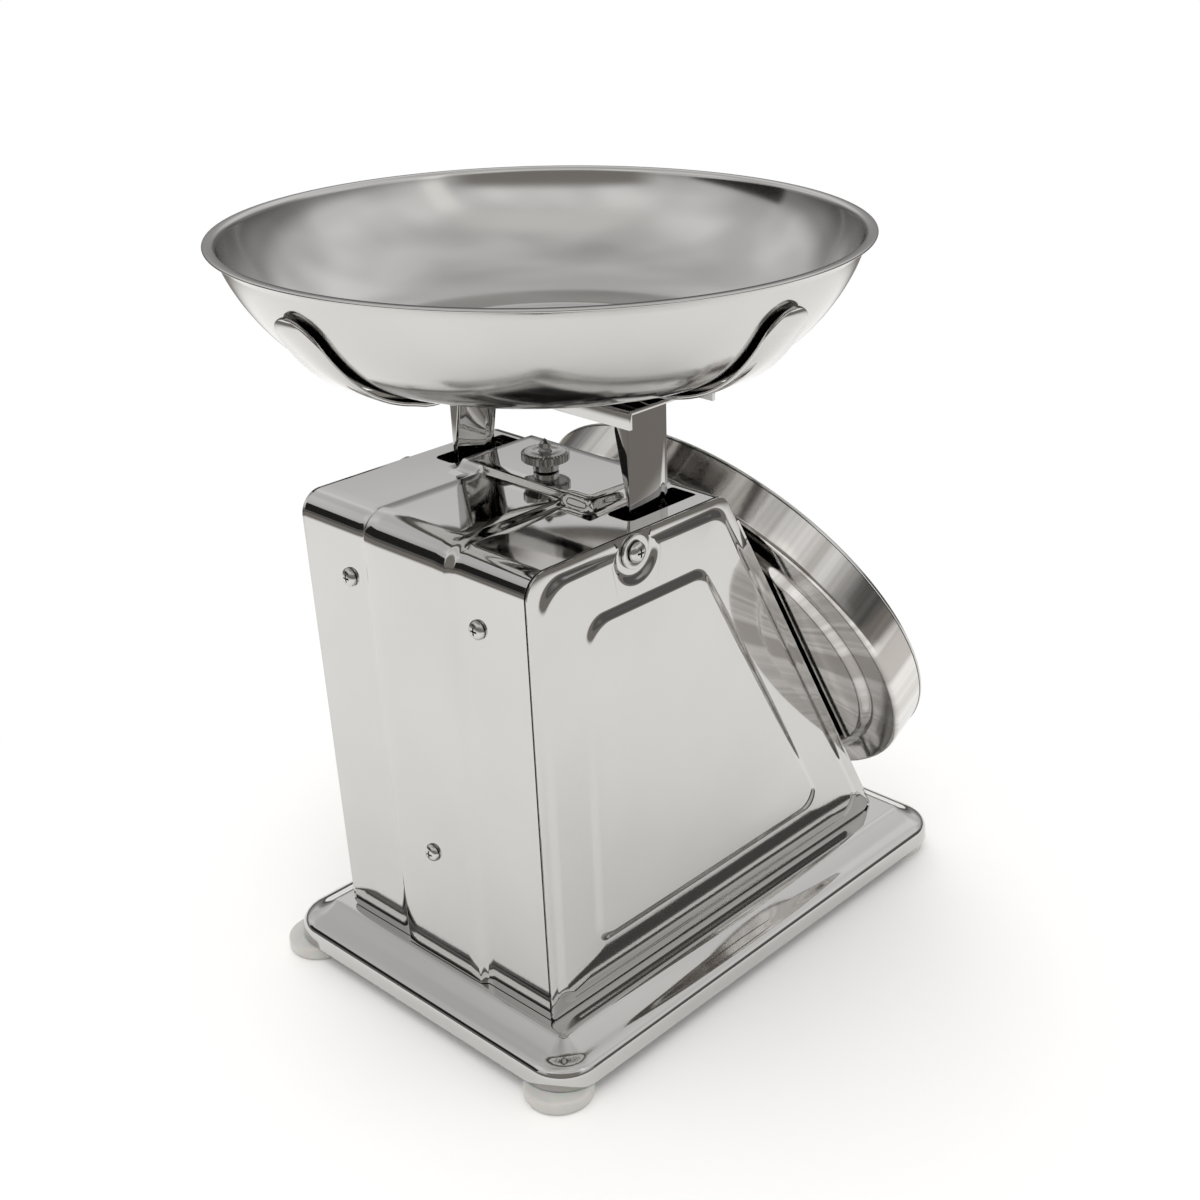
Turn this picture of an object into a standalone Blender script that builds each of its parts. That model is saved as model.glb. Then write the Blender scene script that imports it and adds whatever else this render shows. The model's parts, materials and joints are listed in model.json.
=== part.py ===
"""Kitchen scale: a lift-off bowl on a sprung platform, over a tapered metal housing with a tilted round dial.

Metres, +Z up. The dial faces -Y and the rear cover faces +Y. The origin is on the floor, under the middle
of the object's box. Depths are measured forward from the rear face of the housing.
"""

import math

import bmesh
import bpy
from mathutils import Matrix, Vector

# Clearances
GAP = 0.0003  # between pieces that touch or are fastened together
RUNNING = 0.0003  # round a pin or a shaft

# Cutters reach this far past what they cut
THROUGH = 0.1

# Base
FOOT_HEIGHT = 0.006
FOOT_RADIUS = 0.0138
FOOT_SIDE_INSET = 0.012
FOOT_REAR_INSET = 0.009
FOOT_FRONT_INSET = 0.016
BASE_SIDE_MARGIN = 0.0245  # from the housing out to the pan's edge
BASE_REAR_MARGIN = 0.0195
BASE_FRONT_MARGIN = 0.0215
BASE_CORNER_RADIUS = 0.018
BASE_LEAST_RADIUS = 0.003
SKIRT_HEIGHT = 0.0075
SKIRT_LEAN = 0.0006
BASE_RISE = 0.0069
BASE_SHEET = 0.0012

# Housing
HOUSING_WIDTH = 0.120
HOUSING_HEIGHT = 0.183
FOOT_DEPTH = 0.208
TOP_DEPTH = 0.102
HOUSING_SHEET = 0.0012
REAR_BEND_RADIUS = 0.009
FRONT_BEND_RADIUS = 0.008
FRONT_LIP = 0.010
BAND_HALF_WIDTH = 0.021
BAND_HEIGHT = 0.0022
BAND_SLOPE = 0.0035
PLATEAU_HALF_WIDTH = 0.033
PLATEAU_START = 0.053
PLATEAU_END = 0.096
PLATEAU_HEIGHT = 0.0042
PLATEAU_SLOPE = 0.004
PANEL_LIP_RADIUS = 0.003
SIDE_PANEL_FOOT_RADIUS = 0.0015
FIELD_INSET = 0.003
FIELD_RADIUS = 0.012
FIELD_HEIGHT = 0.0014
EMBOSS_INSET = 0.0227
EMBOSS_HEIGHT = 0.0014
EMBOSS_RADIUS = 0.010
PRESS_SLOPE = 0.0025

# Fasteners
SCREW_HEAD_RADIUS = 0.0036
SCREW_HEAD_HEIGHT = 0.0022
SCREW_SHANK_RADIUS = 0.0017
REAR_SCREW_SPACING = 0.069
REAR_SCREW_DROP = 0.026
LOWER_SCREW_HEIGHT = 0.0735
SIDE_SCREW_HEAD_RADIUS = 0.0038
SIDE_SCREW_DEPTH = 0.051
SIDE_SCREW_DROP = 0.0064
WASHER_RADIUS = 0.0064
WASHER_THICKNESS = 0.001
NOTCH_MARGIN = 0.0022
NUT_END = 0.002  # how far a screw reaches past the sheet it holds

# Inner frame
FRAME_SIDE_CLEARANCE = 0.0026  # from a side panel in to the frame
FRAME_BACK_DEPTH = 0.0112
FRAME_SHEET = 0.0012
FRAME_CHEEK_DEPTH = 0.062
FRAME_TOP_DROP = 0.0045

# Weighing platform
PAN_DEPTH = 0.0735
TRAVEL = 0.015
POST_SPACING = 0.092
POST_WIDTH = 0.020
POST_SHEET = 0.0015
POST_FLANGE = 0.0065
POST_TAPER_START = 0.004
POST_TAPER_END = 0.012
YOKE_DROP = 0.006
LINK_PIN_END = 0.002
SLOT_LENGTH = 0.036
SLOT_OFFSET = 0.002
SLOT_WIDTH = 0.012
CHANNEL_LENGTH = 0.118
CHANNEL_WIDTH = 0.044
CHANNEL_SHEET = 0.0015
CHANNEL_FLANGE = 0.0065
CHANNEL_BEND = 0.001
PLATFORM_CLEARANCE = 0.036  # from the housing's top up to the channel's flanges
ARM_WIDTH = 0.020
ARM_SHEET = 0.0015
ARM_STANDOFF = 0.0024
ARM_END_DROP = 0.007
ARM_BEND = 0.010
YOKE_HEIGHT = 0.088
YOKE_SHEET = 0.003
YOKE_WIDTH = 0.018
LINK_PIN_RADIUS = 0.002
LINK_PIN_OFFSET = 0.005
UPPER_LINK_HEIGHT = 0.170
LOWER_LINK_HEIGHT = 0.110
LEVER_PIVOT_DEPTH = 0.020
PIVOT_PIN_END = 0.0008
LEVER_SHEET = 0.002
LEVER_HALF_HEIGHT = 0.0045
LEVER_FORK_LENGTH = 0.004
SLEEVE_WALL = 0.0012
SLOT_PLAY = 0.0004  # between a pin and the sides of its slot
LEVER_HALF_SPAN = 0.037
LEVER_PROUD = 0.0002
DRIVE_ARM_SHEET = 0.0015
DRIVE_ARM_HALF_HEIGHT = 0.0035
DRIVE_PIN_END = 0.001
DRIVE_PIN_RADIUS = 0.002

# Bowl
BOWL_RIM_RADIUS = 0.1142
BOWL_DEPTH = 0.0438
BOWL_SHEET = 0.0009
BOWL_FLAT_RADIUS = 0.020
BOWL_WALL_POWER = 0.42  # a lower power squares the corner between bottom and wall
BOWL_RIM_POWER = 2.05  # a higher power leans the wall out more at the rim
BOWL_STEP_SPREAD = 1.25
RIM_BEAD_RADIUS = 0.0011

# Zero adjuster and springs
ZERO_DEPTH = 0.068
NUT_RADIUS = 0.009
NUT_THICKNESS = 0.0036
NUT_EDGE = 0.0004
NUT_NECK_RADIUS = 0.0048
NUT_NECK_HEIGHT = 0.0036
ZERO_SCREW_RADIUS = 0.0023
ZERO_SCREW_TIP = 0.0048
HANGER_HALF_LENGTH = 0.025
HANGER_HALF_WIDTH = 0.004
HANGER_SHEET = 0.004
HANGER_HEIGHT = 0.188
SPRING_X = 0.018
SPRING_RADIUS = 0.006
SPRING_WIRE = 0.0014
SPRING_TURNS = 11
SPRING_HOOK = 0.006

# Dial drum
DIAL_RADIUS = 0.0976
DIAL_STANDOFF = 0.0045
DIAL_THICKNESS = 0.0192
DIAL_SHEET = 0.001
DIAL_BACK_RADIUS = 0.0022
DIAL_BOSS_RADIUS = 0.080
DIAL_BOSS_SLOPE = 0.004
DIAL_SEAT_RADIUS = 0.054
DIAL_SEAT_SLOPE = 0.003
DIAL_RELIEF = 0.001  # from the seat back to the boss round it
BEZEL_DEPTH = 0.0037
BEZEL_OPENING = 0.0905
BEZEL_EDGE = 0.0008
BEZEL_SHEET = 0.0012
GLASS_THICKNESS = 0.0024
GLASS_CLEARANCE = 0.0016  # from the pointer's cap up to the glass
DIAL_FACE_RADIUS = 0.092
DIAL_FACE_SHEET = 0.0008
DIAL_FACE_BORE = 0.006
CASE_SCREW_CIRCLE = 0.045
CASE_SCREW_LENGTH = 0.006
POINTER_LENGTH = 0.080
POINTER_TAIL = 0.022
POINTER_LIFT = 0.0023  # from the dial face up to the pointer's hub
POINTER_SHEET = 0.0008
POINTER_HALF_WIDTH = 0.0028
POINTER_HUB_RADIUS = 0.0048
POINTER_HUB_THICKNESS = 0.0022
CAP_RADIUS = 0.0034
CAP_THICKNESS = 0.0018
SPINDLE_RADIUS = 0.0015
BUSH_RADIUS = 0.0075
BUSH_LENGTH = 0.004
BUSH_FLANGE_RADIUS = 0.012
BUSH_FLANGE = 0.003
PINION_ANGLE = 350.0
PINION_TEETH = 12
TOOTH_ADDENDUM = 0.0002
TOOTH_DEPTH = 0.0008
PINION_BACK = 0.015
PINION_WIDTH = 0.004
RACK_WIDTH = 0.0044
RACK_TAB_SHEET = 0.0015
RACK_SLOT_OFFSET = 0.006
SLOT_WALL = 0.003
BRIDGE_HALF_WIDTH = 0.0142
BRIDGE_HALF_HEIGHT = 0.008
BRIDGE_SHEET = 0.0012
GUIDE_HALF_LENGTH = 0.005

# Derived places
BASE_WIDTH = HOUSING_WIDTH + 2 * BASE_SIDE_MARGIN
BASE_DEPTH = BASE_REAR_MARGIN + FOOT_DEPTH + BASE_FRONT_MARGIN
FLOOR_TO_PAN = FOOT_HEIGHT + GAP
BASE_TOP = FLOOR_TO_PAN + SKIRT_HEIGHT + BASE_RISE
HOUSING_FOOT = BASE_TOP + GAP
HOUSING_TOP = HOUSING_FOOT + HOUSING_HEIGHT
HALF_WIDTH = HOUSING_WIDTH / 2
PANEL_INSIDE = HALF_WIDTH - HOUSING_SHEET
COVER_HALF_WIDTH = PANEL_INSIDE - GAP
FRAME_HALF = PANEL_INSIDE - FRAME_SIDE_CLEARANCE
FRAME_WIDTH = 2 * FRAME_HALF
SLOPE = math.atan2(FOOT_DEPTH - TOP_DEPTH, HOUSING_HEIGHT)
SLOPE_LENGTH = math.hypot(FOOT_DEPTH - TOP_DEPTH, HOUSING_HEIGHT)
DIAL_DEPTH = (FOOT_DEPTH + TOP_DEPTH) / 2
DIAL_HEIGHT = (HOUSING_FOOT + HOUSING_TOP) / 2
CHANNEL_TOP = HOUSING_TOP + PLATFORM_CLEARANCE + CHANNEL_FLANGE
SIDE_ARM_TOP = CHANNEL_TOP + GAP + ARM_SHEET
CROSS_ARM_TOP = SIDE_ARM_TOP + GAP + ARM_SHEET
BOWL_BOTTOM = CROSS_ARM_TOP + GAP
BOWL_RIM = BOWL_BOTTOM + BOWL_DEPTH
POST_X = POST_SPACING / 2
LINK_PIN_DEPTH = PAN_DEPTH + LINK_PIN_OFFSET
LEVER_LENGTH = LINK_PIN_DEPTH - LEVER_PIVOT_DEPTH
LEVER_TILT = math.atan(TRAVEL / 2 / LEVER_LENGTH)
FRONT_REACH = BASE_DEPTH - BASE_REAR_MARGIN
REAR_REACH = BOWL_RIM_RADIUS + RIM_BEAD_RADIUS - PAN_DEPTH
REAR_Y = (FRONT_REACH - REAR_REACH) / 2
RACK_TRAVEL = TRAVEL / math.cos(SLOPE)
PINION_RADIUS = RACK_TRAVEL / math.radians(PINION_ANGLE)
PINION_TIP = PINION_RADIUS + TOOTH_ADDENDUM
RACK_TIP_X = PINION_TIP + RUNNING
DRIVE_ARM_X = RACK_TIP_X + RACK_WIDTH + GAP
GLASS_SEAT = DIAL_STANDOFF + DIAL_THICKNESS - BEZEL_DEPTH
CAP_SEAT = GLASS_SEAT - GLASS_CLEARANCE - CAP_THICKNESS
POINTER_HEIGHT = CAP_SEAT - 2 * GAP - POINTER_HUB_THICKNESS
DIAL_FACE_HEIGHT = POINTER_HEIGHT - POINTER_LIFT

STEEL = (0.80, 0.80, 0.80)
BRASS = (0.70, 0.52, 0.25)
# Facets round each kind of round piece
SMALL_ROUND = 14
WIDE_ROUND = 48
FOOT_ROUND = 20
ARM_STEPS = 22
BOWL_STEPS = 11


# Materials and objects


def material(name, colour, roughness, metallic, alpha=1.0):
    made = bpy.data.materials.get(name)
    if made is None:
        made = bpy.data.materials.new(name)
        made.use_nodes = True
        shader = made.node_tree.nodes["Principled BSDF"]
        shader.inputs["Base Color"].default_value = (*colour, 1.0)
        shader.inputs["Roughness"].default_value = roughness
        shader.inputs["Metallic"].default_value = metallic
        shader.inputs["Alpha"].default_value = alpha
    return made


def polished():
    return material("polished_steel", STEEL, 0.06, 1.0)


def plated():
    return material("plated_steel", (0.62, 0.62, 0.63), 0.3, 1.0)


def brass():
    return material("turned_brass", BRASS, 0.25, 1.0)


def empty(name, location, tilt=0.0):
    made = bpy.data.objects.new(name, None)
    bpy.context.scene.collection.objects.link(made)
    made.empty_display_size = 0.01
    made.location = location
    made.rotation_euler.x = tilt
    return made


def place(name, points, faces, finish, parent, turn=None):
    """An object from points and faces, with its normals outward and its round parts smooth."""
    mesh = bpy.data.meshes.new(name)
    mesh.from_pydata([tuple(p) for p in points], [], faces)
    work = bmesh.new()
    work.from_mesh(mesh)
    if turn is not None:
        bmesh.ops.transform(work, matrix=turn, verts=work.verts)
    bmesh.ops.recalc_face_normals(work, faces=work.faces)
    work.to_mesh(mesh)
    work.free()
    mesh.shade_smooth()
    mesh.set_sharp_from_angle(angle=math.radians(30))
    made = bpy.data.objects.new(name, mesh)
    bpy.context.scene.collection.objects.link(made)
    made.parent = parent
    if finish is not None:
        mesh.materials.append(finish)
    return made


def combine(target, other, operation):
    """Joins another object to the target, or cuts it out, and hides the other one."""
    other.hide_render = True
    other.hide_set(True)
    other.display_type = "WIRE"
    change = target.modifiers.new(other.name, "BOOLEAN")
    change.operation = operation
    change.solver = "EXACT"
    change.object = other


# Outlines


def arc(centre, radius, start, end, steps):
    return [
        (
            centre[0] + radius * math.cos(math.radians(start + (end - start) * i / steps)),
            centre[1] + radius * math.sin(math.radians(start + (end - start) * i / steps)),
        )
        for i in range(steps + 1)
    ]


def fillet(before, corner, after, radius, steps):
    """The arc that rounds one corner of an outline."""
    corner = Vector(corner)
    back = (Vector(before) - corner).normalized()
    ahead = (Vector(after) - corner).normalized()
    half = back.angle(ahead) / 2
    start = corner + back * radius / math.tan(half)
    centre = corner + (back + ahead).normalized() * radius / math.sin(half)
    turn = (start - centre).angle_signed(corner + ahead * radius / math.tan(half) - centre)
    spoke = start - centre
    return [
        tuple(centre + Matrix.Rotation(-turn * i / steps, 2) @ spoke) for i in range(steps + 1)
    ]


def inset_corners(corners, distance):
    """The corners of a convex clockwise or anticlockwise outline, moved inward by a distance."""
    centre = sum((Vector(c) for c in corners), Vector((0, 0))) / len(corners)
    moved = []
    for i, corner in enumerate(corners):
        sides = []
        for a, b in ((corners[i - 1], corner), (corner, corners[(i + 1) % len(corners)])):
            along = (Vector(b) - Vector(a)).normalized()
            normal = Vector((-along.y, along.x))
            if normal.dot(centre - Vector(a)) < 0:
                normal = -normal
            sides.append((Vector(a) + normal * distance, along))
        (p, u), (q, v) = sides
        cross = u.x * v.y - u.y * v.x
        step = ((q - p).x * v.y - (q - p).y * v.x) / cross
        moved.append(tuple(p + u * step))
    return moved


def rounded(corners, radii, steps):
    """A closed outline with every corner rounded."""
    points = []
    for i, corner in enumerate(corners):
        after = corners[(i + 1) % len(corners)]
        points += fillet(corners[i - 1], corner, after, radii[i], steps)
    return points


def rectangle(half_x, low_y, high_y):
    return [(-half_x, low_y), (half_x, low_y), (half_x, high_y), (-half_x, high_y)]


# Solids


def lofted(loops, capped=True):
    """Points and faces of a skin through loops of equal length. Uncapped, the last loop meets the first."""
    count = len(loops[0])
    points = [p for loop in loops for p in loop]
    faces = []
    rows = len(loops) - 1 if capped else len(loops)
    for row in range(rows):
        a = row * count
        b = (row + 1) % len(loops) * count
        for i in range(count):
            j = (i + 1) % count
            faces.append((a + i, a + j, b + j, b + i))
    if capped:
        faces.append(tuple(range(count)))
        faces.append(tuple(range(len(points) - count, len(points))))
    return points, faces


def prism(outline, low, high, axis):
    """A closed outline extruded along an axis. Its two coordinates are the other axes, in X, Y, Z order."""
    order = {"X": (1, 2, 0), "Y": (0, 2, 1), "Z": (0, 1, 2)}[axis]
    loops = []
    for level in (low, high):
        loop = []
        for u, v in outline:
            point = [0.0, 0.0, 0.0]
            point[order[0]] = u
            point[order[1]] = v
            point[order[2]] = level
            loop.append(tuple(point))
        loops.append(loop)
    return lofted(loops)


def turned(profile, segments):
    """A profile of radius and height, turned about Z. It closes through the axis or round a bore."""
    on_axis = profile[0][0] == 0 and profile[-1][0] == 0
    body = profile[1:-1] if on_axis else profile
    loops = []
    for radius, height in body:
        loops.append(
            [
                (
                    radius * math.cos(2 * math.pi * (i + 0.5) / segments),
                    radius * math.sin(2 * math.pi * (i + 0.5) / segments),
                    height,
                )
                for i in range(segments)
            ]
        )
    points, faces = lofted(loops, capped=on_axis)
    if on_axis:
        faces = faces[:-2]
        for row, (_, height) in ((0, profile[0]), (len(body) - 1, profile[-1])):
            tip = len(points)
            points.append((0.0, 0.0, height))
            for i in range(segments):
                faces.append((row * segments + i, row * segments + (i + 1) % segments, tip))
    return points, faces


def folded(path, sheet):
    """The outline of a sheet bent along an open path, which is its outer face. It thickens to the left."""
    inner = []
    for i, point in enumerate(path):
        here = Vector(point)
        sides = []
        if i > 0:
            sides.append((here - Vector(path[i - 1])).normalized())
        if i < len(path) - 1:
            sides.append((Vector(path[i + 1]) - here).normalized())
        along = sum(sides, Vector((0, 0))).normalized()
        lean = along.dot(sides[0])
        inner.append(tuple(here + Vector((-along.y, along.x)) * sheet / lean))
    return list(path) + inner[::-1]


def rod(radius, length, segments=SMALL_ROUND):
    return turned([(0, 0), (radius, 0), (radius, length), (0, length)], segments)


def along(axis, offset=(0, 0, 0)):
    """A matrix that lays a turned piece along an axis and moves it."""
    turns = {
        "+X": Matrix.Rotation(math.pi / 2, 4, "Y"),
        "-X": Matrix.Rotation(-math.pi / 2, 4, "Y"),
        "+Y": Matrix.Rotation(-math.pi / 2, 4, "X"),
        "+Z": Matrix.Identity(4),
    }
    return Matrix.Translation(offset) @ turns[axis]


def hole(target, name, radius, low, high, axis, offset, parent):
    """Drills a round hole along an axis through the target."""
    move = Matrix.Translation(offset)
    turn = along({"X": "+X", "Y": "+Y", "Z": "+Z"}[axis])
    points, faces = turned([(0, low), (radius, low), (radius, high), (0, high)], SMALL_ROUND)
    cutter = place(name, points, faces, None, parent, move @ turn)
    combine(target, cutter, "DIFFERENCE")


# Base


def base_loop(inset, height):
    corners = rectangle(BASE_WIDTH / 2, BASE_REAR_MARGIN - BASE_DEPTH, BASE_REAR_MARGIN)
    corners = inset_corners(corners, inset)
    radius = max(BASE_CORNER_RADIUS - inset, BASE_LEAST_RADIUS)
    return [(x, y, height) for x, y in rounded(corners, [radius] * 4, 5)]


def make_base(housing):
    skirt_top = FLOOR_TO_PAN + SKIRT_HEIGHT
    # Inset and height of the pressed steps, from the flat top outward and down.
    steps = [
        (0.0165, BASE_TOP),
        (0.0150, BASE_TOP - 0.0004),
        (0.0125, BASE_TOP - 0.0018),
        (0.0080, BASE_TOP - 0.0038),
        (0.0035, BASE_TOP - 0.0052),
        (0.0014, skirt_top),
        (SKIRT_LEAN, skirt_top - 0.0010),
        (0.0, FLOOR_TO_PAN),
    ]
    outer = [base_loop(inset, height) for inset, height in steps]
    inner = [
        base_loop(inset + BASE_SHEET, max(height - BASE_SHEET, FLOOR_TO_PAN))
        for inset, height in steps
    ]
    points, faces = lofted(outer + inner[::-1])
    place("base_pan", points, faces, polished(), housing)
    plate_inset = SKIRT_LEAN + BASE_SHEET + GAP
    plate = [
        base_loop(plate_inset, FLOOR_TO_PAN),
        base_loop(plate_inset, FLOOR_TO_PAN + BASE_SHEET),
    ]
    points, faces = lofted(plate)
    place("base_plate", points, faces, plated(), housing)
    rubber = material("clear_rubber", (0.82, 0.82, 0.80), 0.45, 0.0)
    profile = [
        (0, 0),
        (FOOT_RADIUS - 0.0012, 0),
        (FOOT_RADIUS, 0.0014),
        (FOOT_RADIUS, FOOT_HEIGHT - 0.0012),
        (FOOT_RADIUS - 0.0010, FOOT_HEIGHT),
        (0, FOOT_HEIGHT),
    ]
    reach = BASE_WIDTH / 2 - FOOT_SIDE_INSET
    front_reach = BASE_WIDTH / 2 - FOOT_FRONT_INSET
    rear = BASE_REAR_MARGIN - FOOT_REAR_INSET
    front = BASE_REAR_MARGIN - BASE_DEPTH + FOOT_FRONT_INSET
    corners = {
        "foot_rear_left": (reach, rear),
        "foot_rear_right": (-reach, rear),
        "foot_front_left": (front_reach, front),
        "foot_front_right": (-front_reach, front),
    }
    for name, (x, y) in corners.items():
        points, faces = turned(profile, FOOT_ROUND)
        place(name, points, faces, rubber, housing, Matrix.Translation((x, y, 0)))


# Housing shells


def side_corners():
    return [
        (0.0, HOUSING_FOOT),
        (0.0, HOUSING_TOP),
        (-TOP_DEPTH, HOUSING_TOP),
        (-FOOT_DEPTH, HOUSING_FOOT),
    ]


def panel_loop(inset, x, radii, notch):
    """One contour of a side panel, with a run of points on its top edge that dips round the side screw."""
    corners = inset_corners(side_corners(), inset)
    points = []
    top = corners[1][1]
    for i, corner in enumerate(corners):
        points += fillet(corners[i - 1], corner, corners[(i + 1) % 4], radii[i], 5)
        if i == 1:
            middle = (-SIDE_SCREW_DEPTH, HOUSING_TOP - SIDE_SCREW_DROP)
            if notch:
                reach = math.asin((top - middle[1]) / notch)
                start = math.degrees(reach)
                points += arc(middle, notch, start, -180 - start, 10)
            else:
                half = 0.010
                points += [(middle[0] + half - 2 * half * k / 10, top) for k in range(11)]
    return [(x, y, z) for y, z in points]


def make_side_panel(name, side, housing):
    lip = [SIDE_PANEL_FOOT_RADIUS, REAR_BEND_RADIUS, FRONT_BEND_RADIUS, PANEL_LIP_RADIUS]
    soft = [FIELD_RADIUS * share for share in (0.7, 1.0, 0.85, 0.7)]
    field = HALF_WIDTH + FIELD_HEIGHT
    top = field + EMBOSS_HEIGHT
    emboss_radii = [EMBOSS_RADIUS * share for share in (0.7, 1.0, 1.0, 0.7)]
    notch = WASHER_RADIUS + NOTCH_MARGIN
    stages = [
        (0.0, HALF_WIDTH, lip, 0),
        (FIELD_INSET, HALF_WIDTH, soft, notch),
        (FIELD_INSET + PRESS_SLOPE, field, soft, notch + PRESS_SLOPE),
        (EMBOSS_INSET, field, emboss_radii, 0),
        (EMBOSS_INSET + PRESS_SLOPE, top, emboss_radii, 0),
    ]
    front = [panel_loop(inset, side * x, radii, dip) for inset, x, radii, dip in stages]
    back = [
        panel_loop(inset, side * (x - HOUSING_SHEET), radii, dip) for inset, x, radii, dip in stages
    ]
    points, faces = lofted(front[::-1] + back)
    panel = place(name, points, faces, polished(), housing)
    height = HOUSING_TOP - SIDE_SCREW_DROP
    middle = (0, -SIDE_SCREW_DEPTH, height)
    hole(panel, name + "_screw_hole", SCREW_SHANK_RADIUS + RUNNING, -THROUGH, THROUGH, "X", middle, housing)


def cover_stations():
    """Places along the rear and top cover: depth, height, outward normal, and how far the top is raised."""
    stations = []
    bend_z = HOUSING_TOP - REAR_BEND_RADIUS
    for z in (HOUSING_FOOT, bend_z):
        stations.append((0.0, z, (-1.0, 0.0), "band"))
    for depth, z in arc((REAR_BEND_RADIUS, bend_z), REAR_BEND_RADIUS, 180, 90, 8)[1:]:
        normal = ((depth - REAR_BEND_RADIUS) / REAR_BEND_RADIUS, (z - bend_z) / REAR_BEND_RADIUS)
        stations.append((depth, z, normal, "band"))
    up = (0.0, 1.0)
    stations.append((PLATEAU_START, HOUSING_TOP, up, "band"))
    stations.append((PLATEAU_START + PLATEAU_SLOPE, HOUSING_TOP, up, "plateau"))
    stations.append((PLATEAU_END - PLATEAU_SLOPE, HOUSING_TOP, up, "plateau"))
    stations.append((PLATEAU_END, HOUSING_TOP, up, "flat"))
    turn = math.degrees(math.pi / 2 - SLOPE)
    bend_depth = TOP_DEPTH - FRONT_BEND_RADIUS * math.tan(math.radians(turn / 2))
    centre = (bend_depth, HOUSING_TOP - FRONT_BEND_RADIUS)
    for depth, z in arc(centre, FRONT_BEND_RADIUS, 90, 90 - turn, 5):
        normal = ((depth - centre[0]) / FRONT_BEND_RADIUS, (z - centre[1]) / FRONT_BEND_RADIUS)
        stations.append((depth, z, normal, "flat"))
    depth, z = stations[-1][:2]
    end = (depth + FRONT_LIP * math.sin(SLOPE), z - FRONT_LIP * math.cos(SLOPE))
    stations.append((*end, (math.cos(SLOPE), math.sin(SLOPE)), "flat"))
    return stations


def raised(x, kind):
    """How far the cover is pressed out at a distance from its middle."""
    band_foot = BAND_HALF_WIDTH + BAND_SLOPE
    on_band = BAND_HEIGHT if abs(x) <= BAND_HALF_WIDTH + 1e-6 else 0.0
    if abs(x) >= band_foot - 1e-6:
        on_band = 0.0
    if kind == "band":
        return on_band
    if kind == "plateau":
        return PLATEAU_HEIGHT if abs(x) <= PLATEAU_HALF_WIDTH + 1e-6 else 0.0
    return 0.0


def make_rear_top_cover(housing):
    half = [
        BAND_HALF_WIDTH,
        BAND_HALF_WIDTH + BAND_SLOPE,
        PLATEAU_HALF_WIDTH,
        PLATEAU_HALF_WIDTH + PLATEAU_SLOPE,
        COVER_HALF_WIDTH,
    ]
    across = [-x for x in reversed(half)] + half
    loops = []
    for depth, z, normal, kind in cover_stations():
        outer = []
        inner = []
        for x in across:
            lift = raised(x, kind)
            outer.append((x, -(depth + normal[0] * lift), z + normal[1] * lift))
            lift -= HOUSING_SHEET
            inner.append((x, -(depth + normal[0] * lift), z + normal[1] * lift))
        loops.append(outer + inner[::-1])
    points, faces = lofted(loops)
    cover = place("rear_top_cover", points, faces, polished(), housing)
    for side, word in ((1, "left"), (-1, "right")):
        low_x = side * POST_X - SLOT_WIDTH / 2
        front = -PAN_DEPTH - SLOT_OFFSET - SLOT_LENGTH / 2
        outline = rounded(
            [
                (low_x, front),
                (low_x + SLOT_WIDTH, front),
                (low_x + SLOT_WIDTH, front + SLOT_LENGTH),
                (low_x, front + SLOT_LENGTH),
            ],
            [0.0012, 0.0012, 0.003, 0.003],
            3,
        )
        points, faces = prism(outline, HOUSING_TOP - 0.01, HOUSING_TOP + 0.01, "Z")
        combine(cover, place("slot_" + word, points, faces, None, housing), "DIFFERENCE")
    for name, (x, z) in rear_screws().items():
        hole(
            cover,
            name + "_cover_hole",
            SCREW_SHANK_RADIUS + RUNNING,
            -0.006,
            0.006,
            "Y",
            (x, 0, z),
            housing,
        )
    hole(
        cover,
        "zero_screw_hole",
        ZERO_SCREW_RADIUS + 0.0005,
        -0.01,
        0.01,
        "Z",
        (0, -ZERO_DEPTH, HOUSING_TOP),
        housing,
    )


def make_front_panel(dial):
    bend = FRONT_BEND_RADIUS * math.tan((math.pi / 2 - SLOPE) / 2)
    top = SLOPE_LENGTH / 2 - bend - FRONT_LIP - GAP
    low = -SLOPE_LENGTH / 2 + HOUSING_SHEET * math.tan(SLOPE) + GAP
    outline = rectangle(COVER_HALF_WIDTH, low, top)
    points, faces = prism(outline, -HOUSING_SHEET, 0, "Z")
    panel = place("front_panel", points, faces, polished(), dial)
    drill = BUSH_RADIUS + 2 * RUNNING
    hole(panel, "front_panel_bore", drill, -0.01, 0.01, "Z", (0, 0, 0), dial)
    for name, (x, y) in case_screws().items():
        radius = SCREW_SHANK_RADIUS + RUNNING
        hole(panel, name + "_panel_hole", radius, -0.01, 0.01, "Z", (x, y, 0), dial)


# Fasteners


def rear_screws():
    high = HOUSING_TOP - REAR_SCREW_DROP
    return {
        "rear_screw_left": (REAR_SCREW_SPACING / 2, high),
        "rear_screw_right": (-REAR_SCREW_SPACING / 2, high),
        "rear_screw_lower": (0.0, LOWER_SCREW_HEIGHT),
    }


def case_screws():
    places = {}
    for i, word in enumerate(("top", "left", "right")):
        angle = math.radians(90 + 120 * i)
        x, y = CASE_SCREW_CIRCLE * math.cos(angle), CASE_SCREW_CIRCLE * math.sin(angle)
        places["case_screw_" + word] = (x, y)
    return places


def screw_profile(head, height, shank):
    """A pan head above the seat at height 0, and its shank below."""
    return [
        (0, height),
        (head * 0.55, height * 0.90),
        (head * 0.90, height * 0.50),
        (head, 0),
        (SCREW_SHANK_RADIUS, 0),
        (SCREW_SHANK_RADIUS, -shank),
        (0, -shank),
    ]


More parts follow.
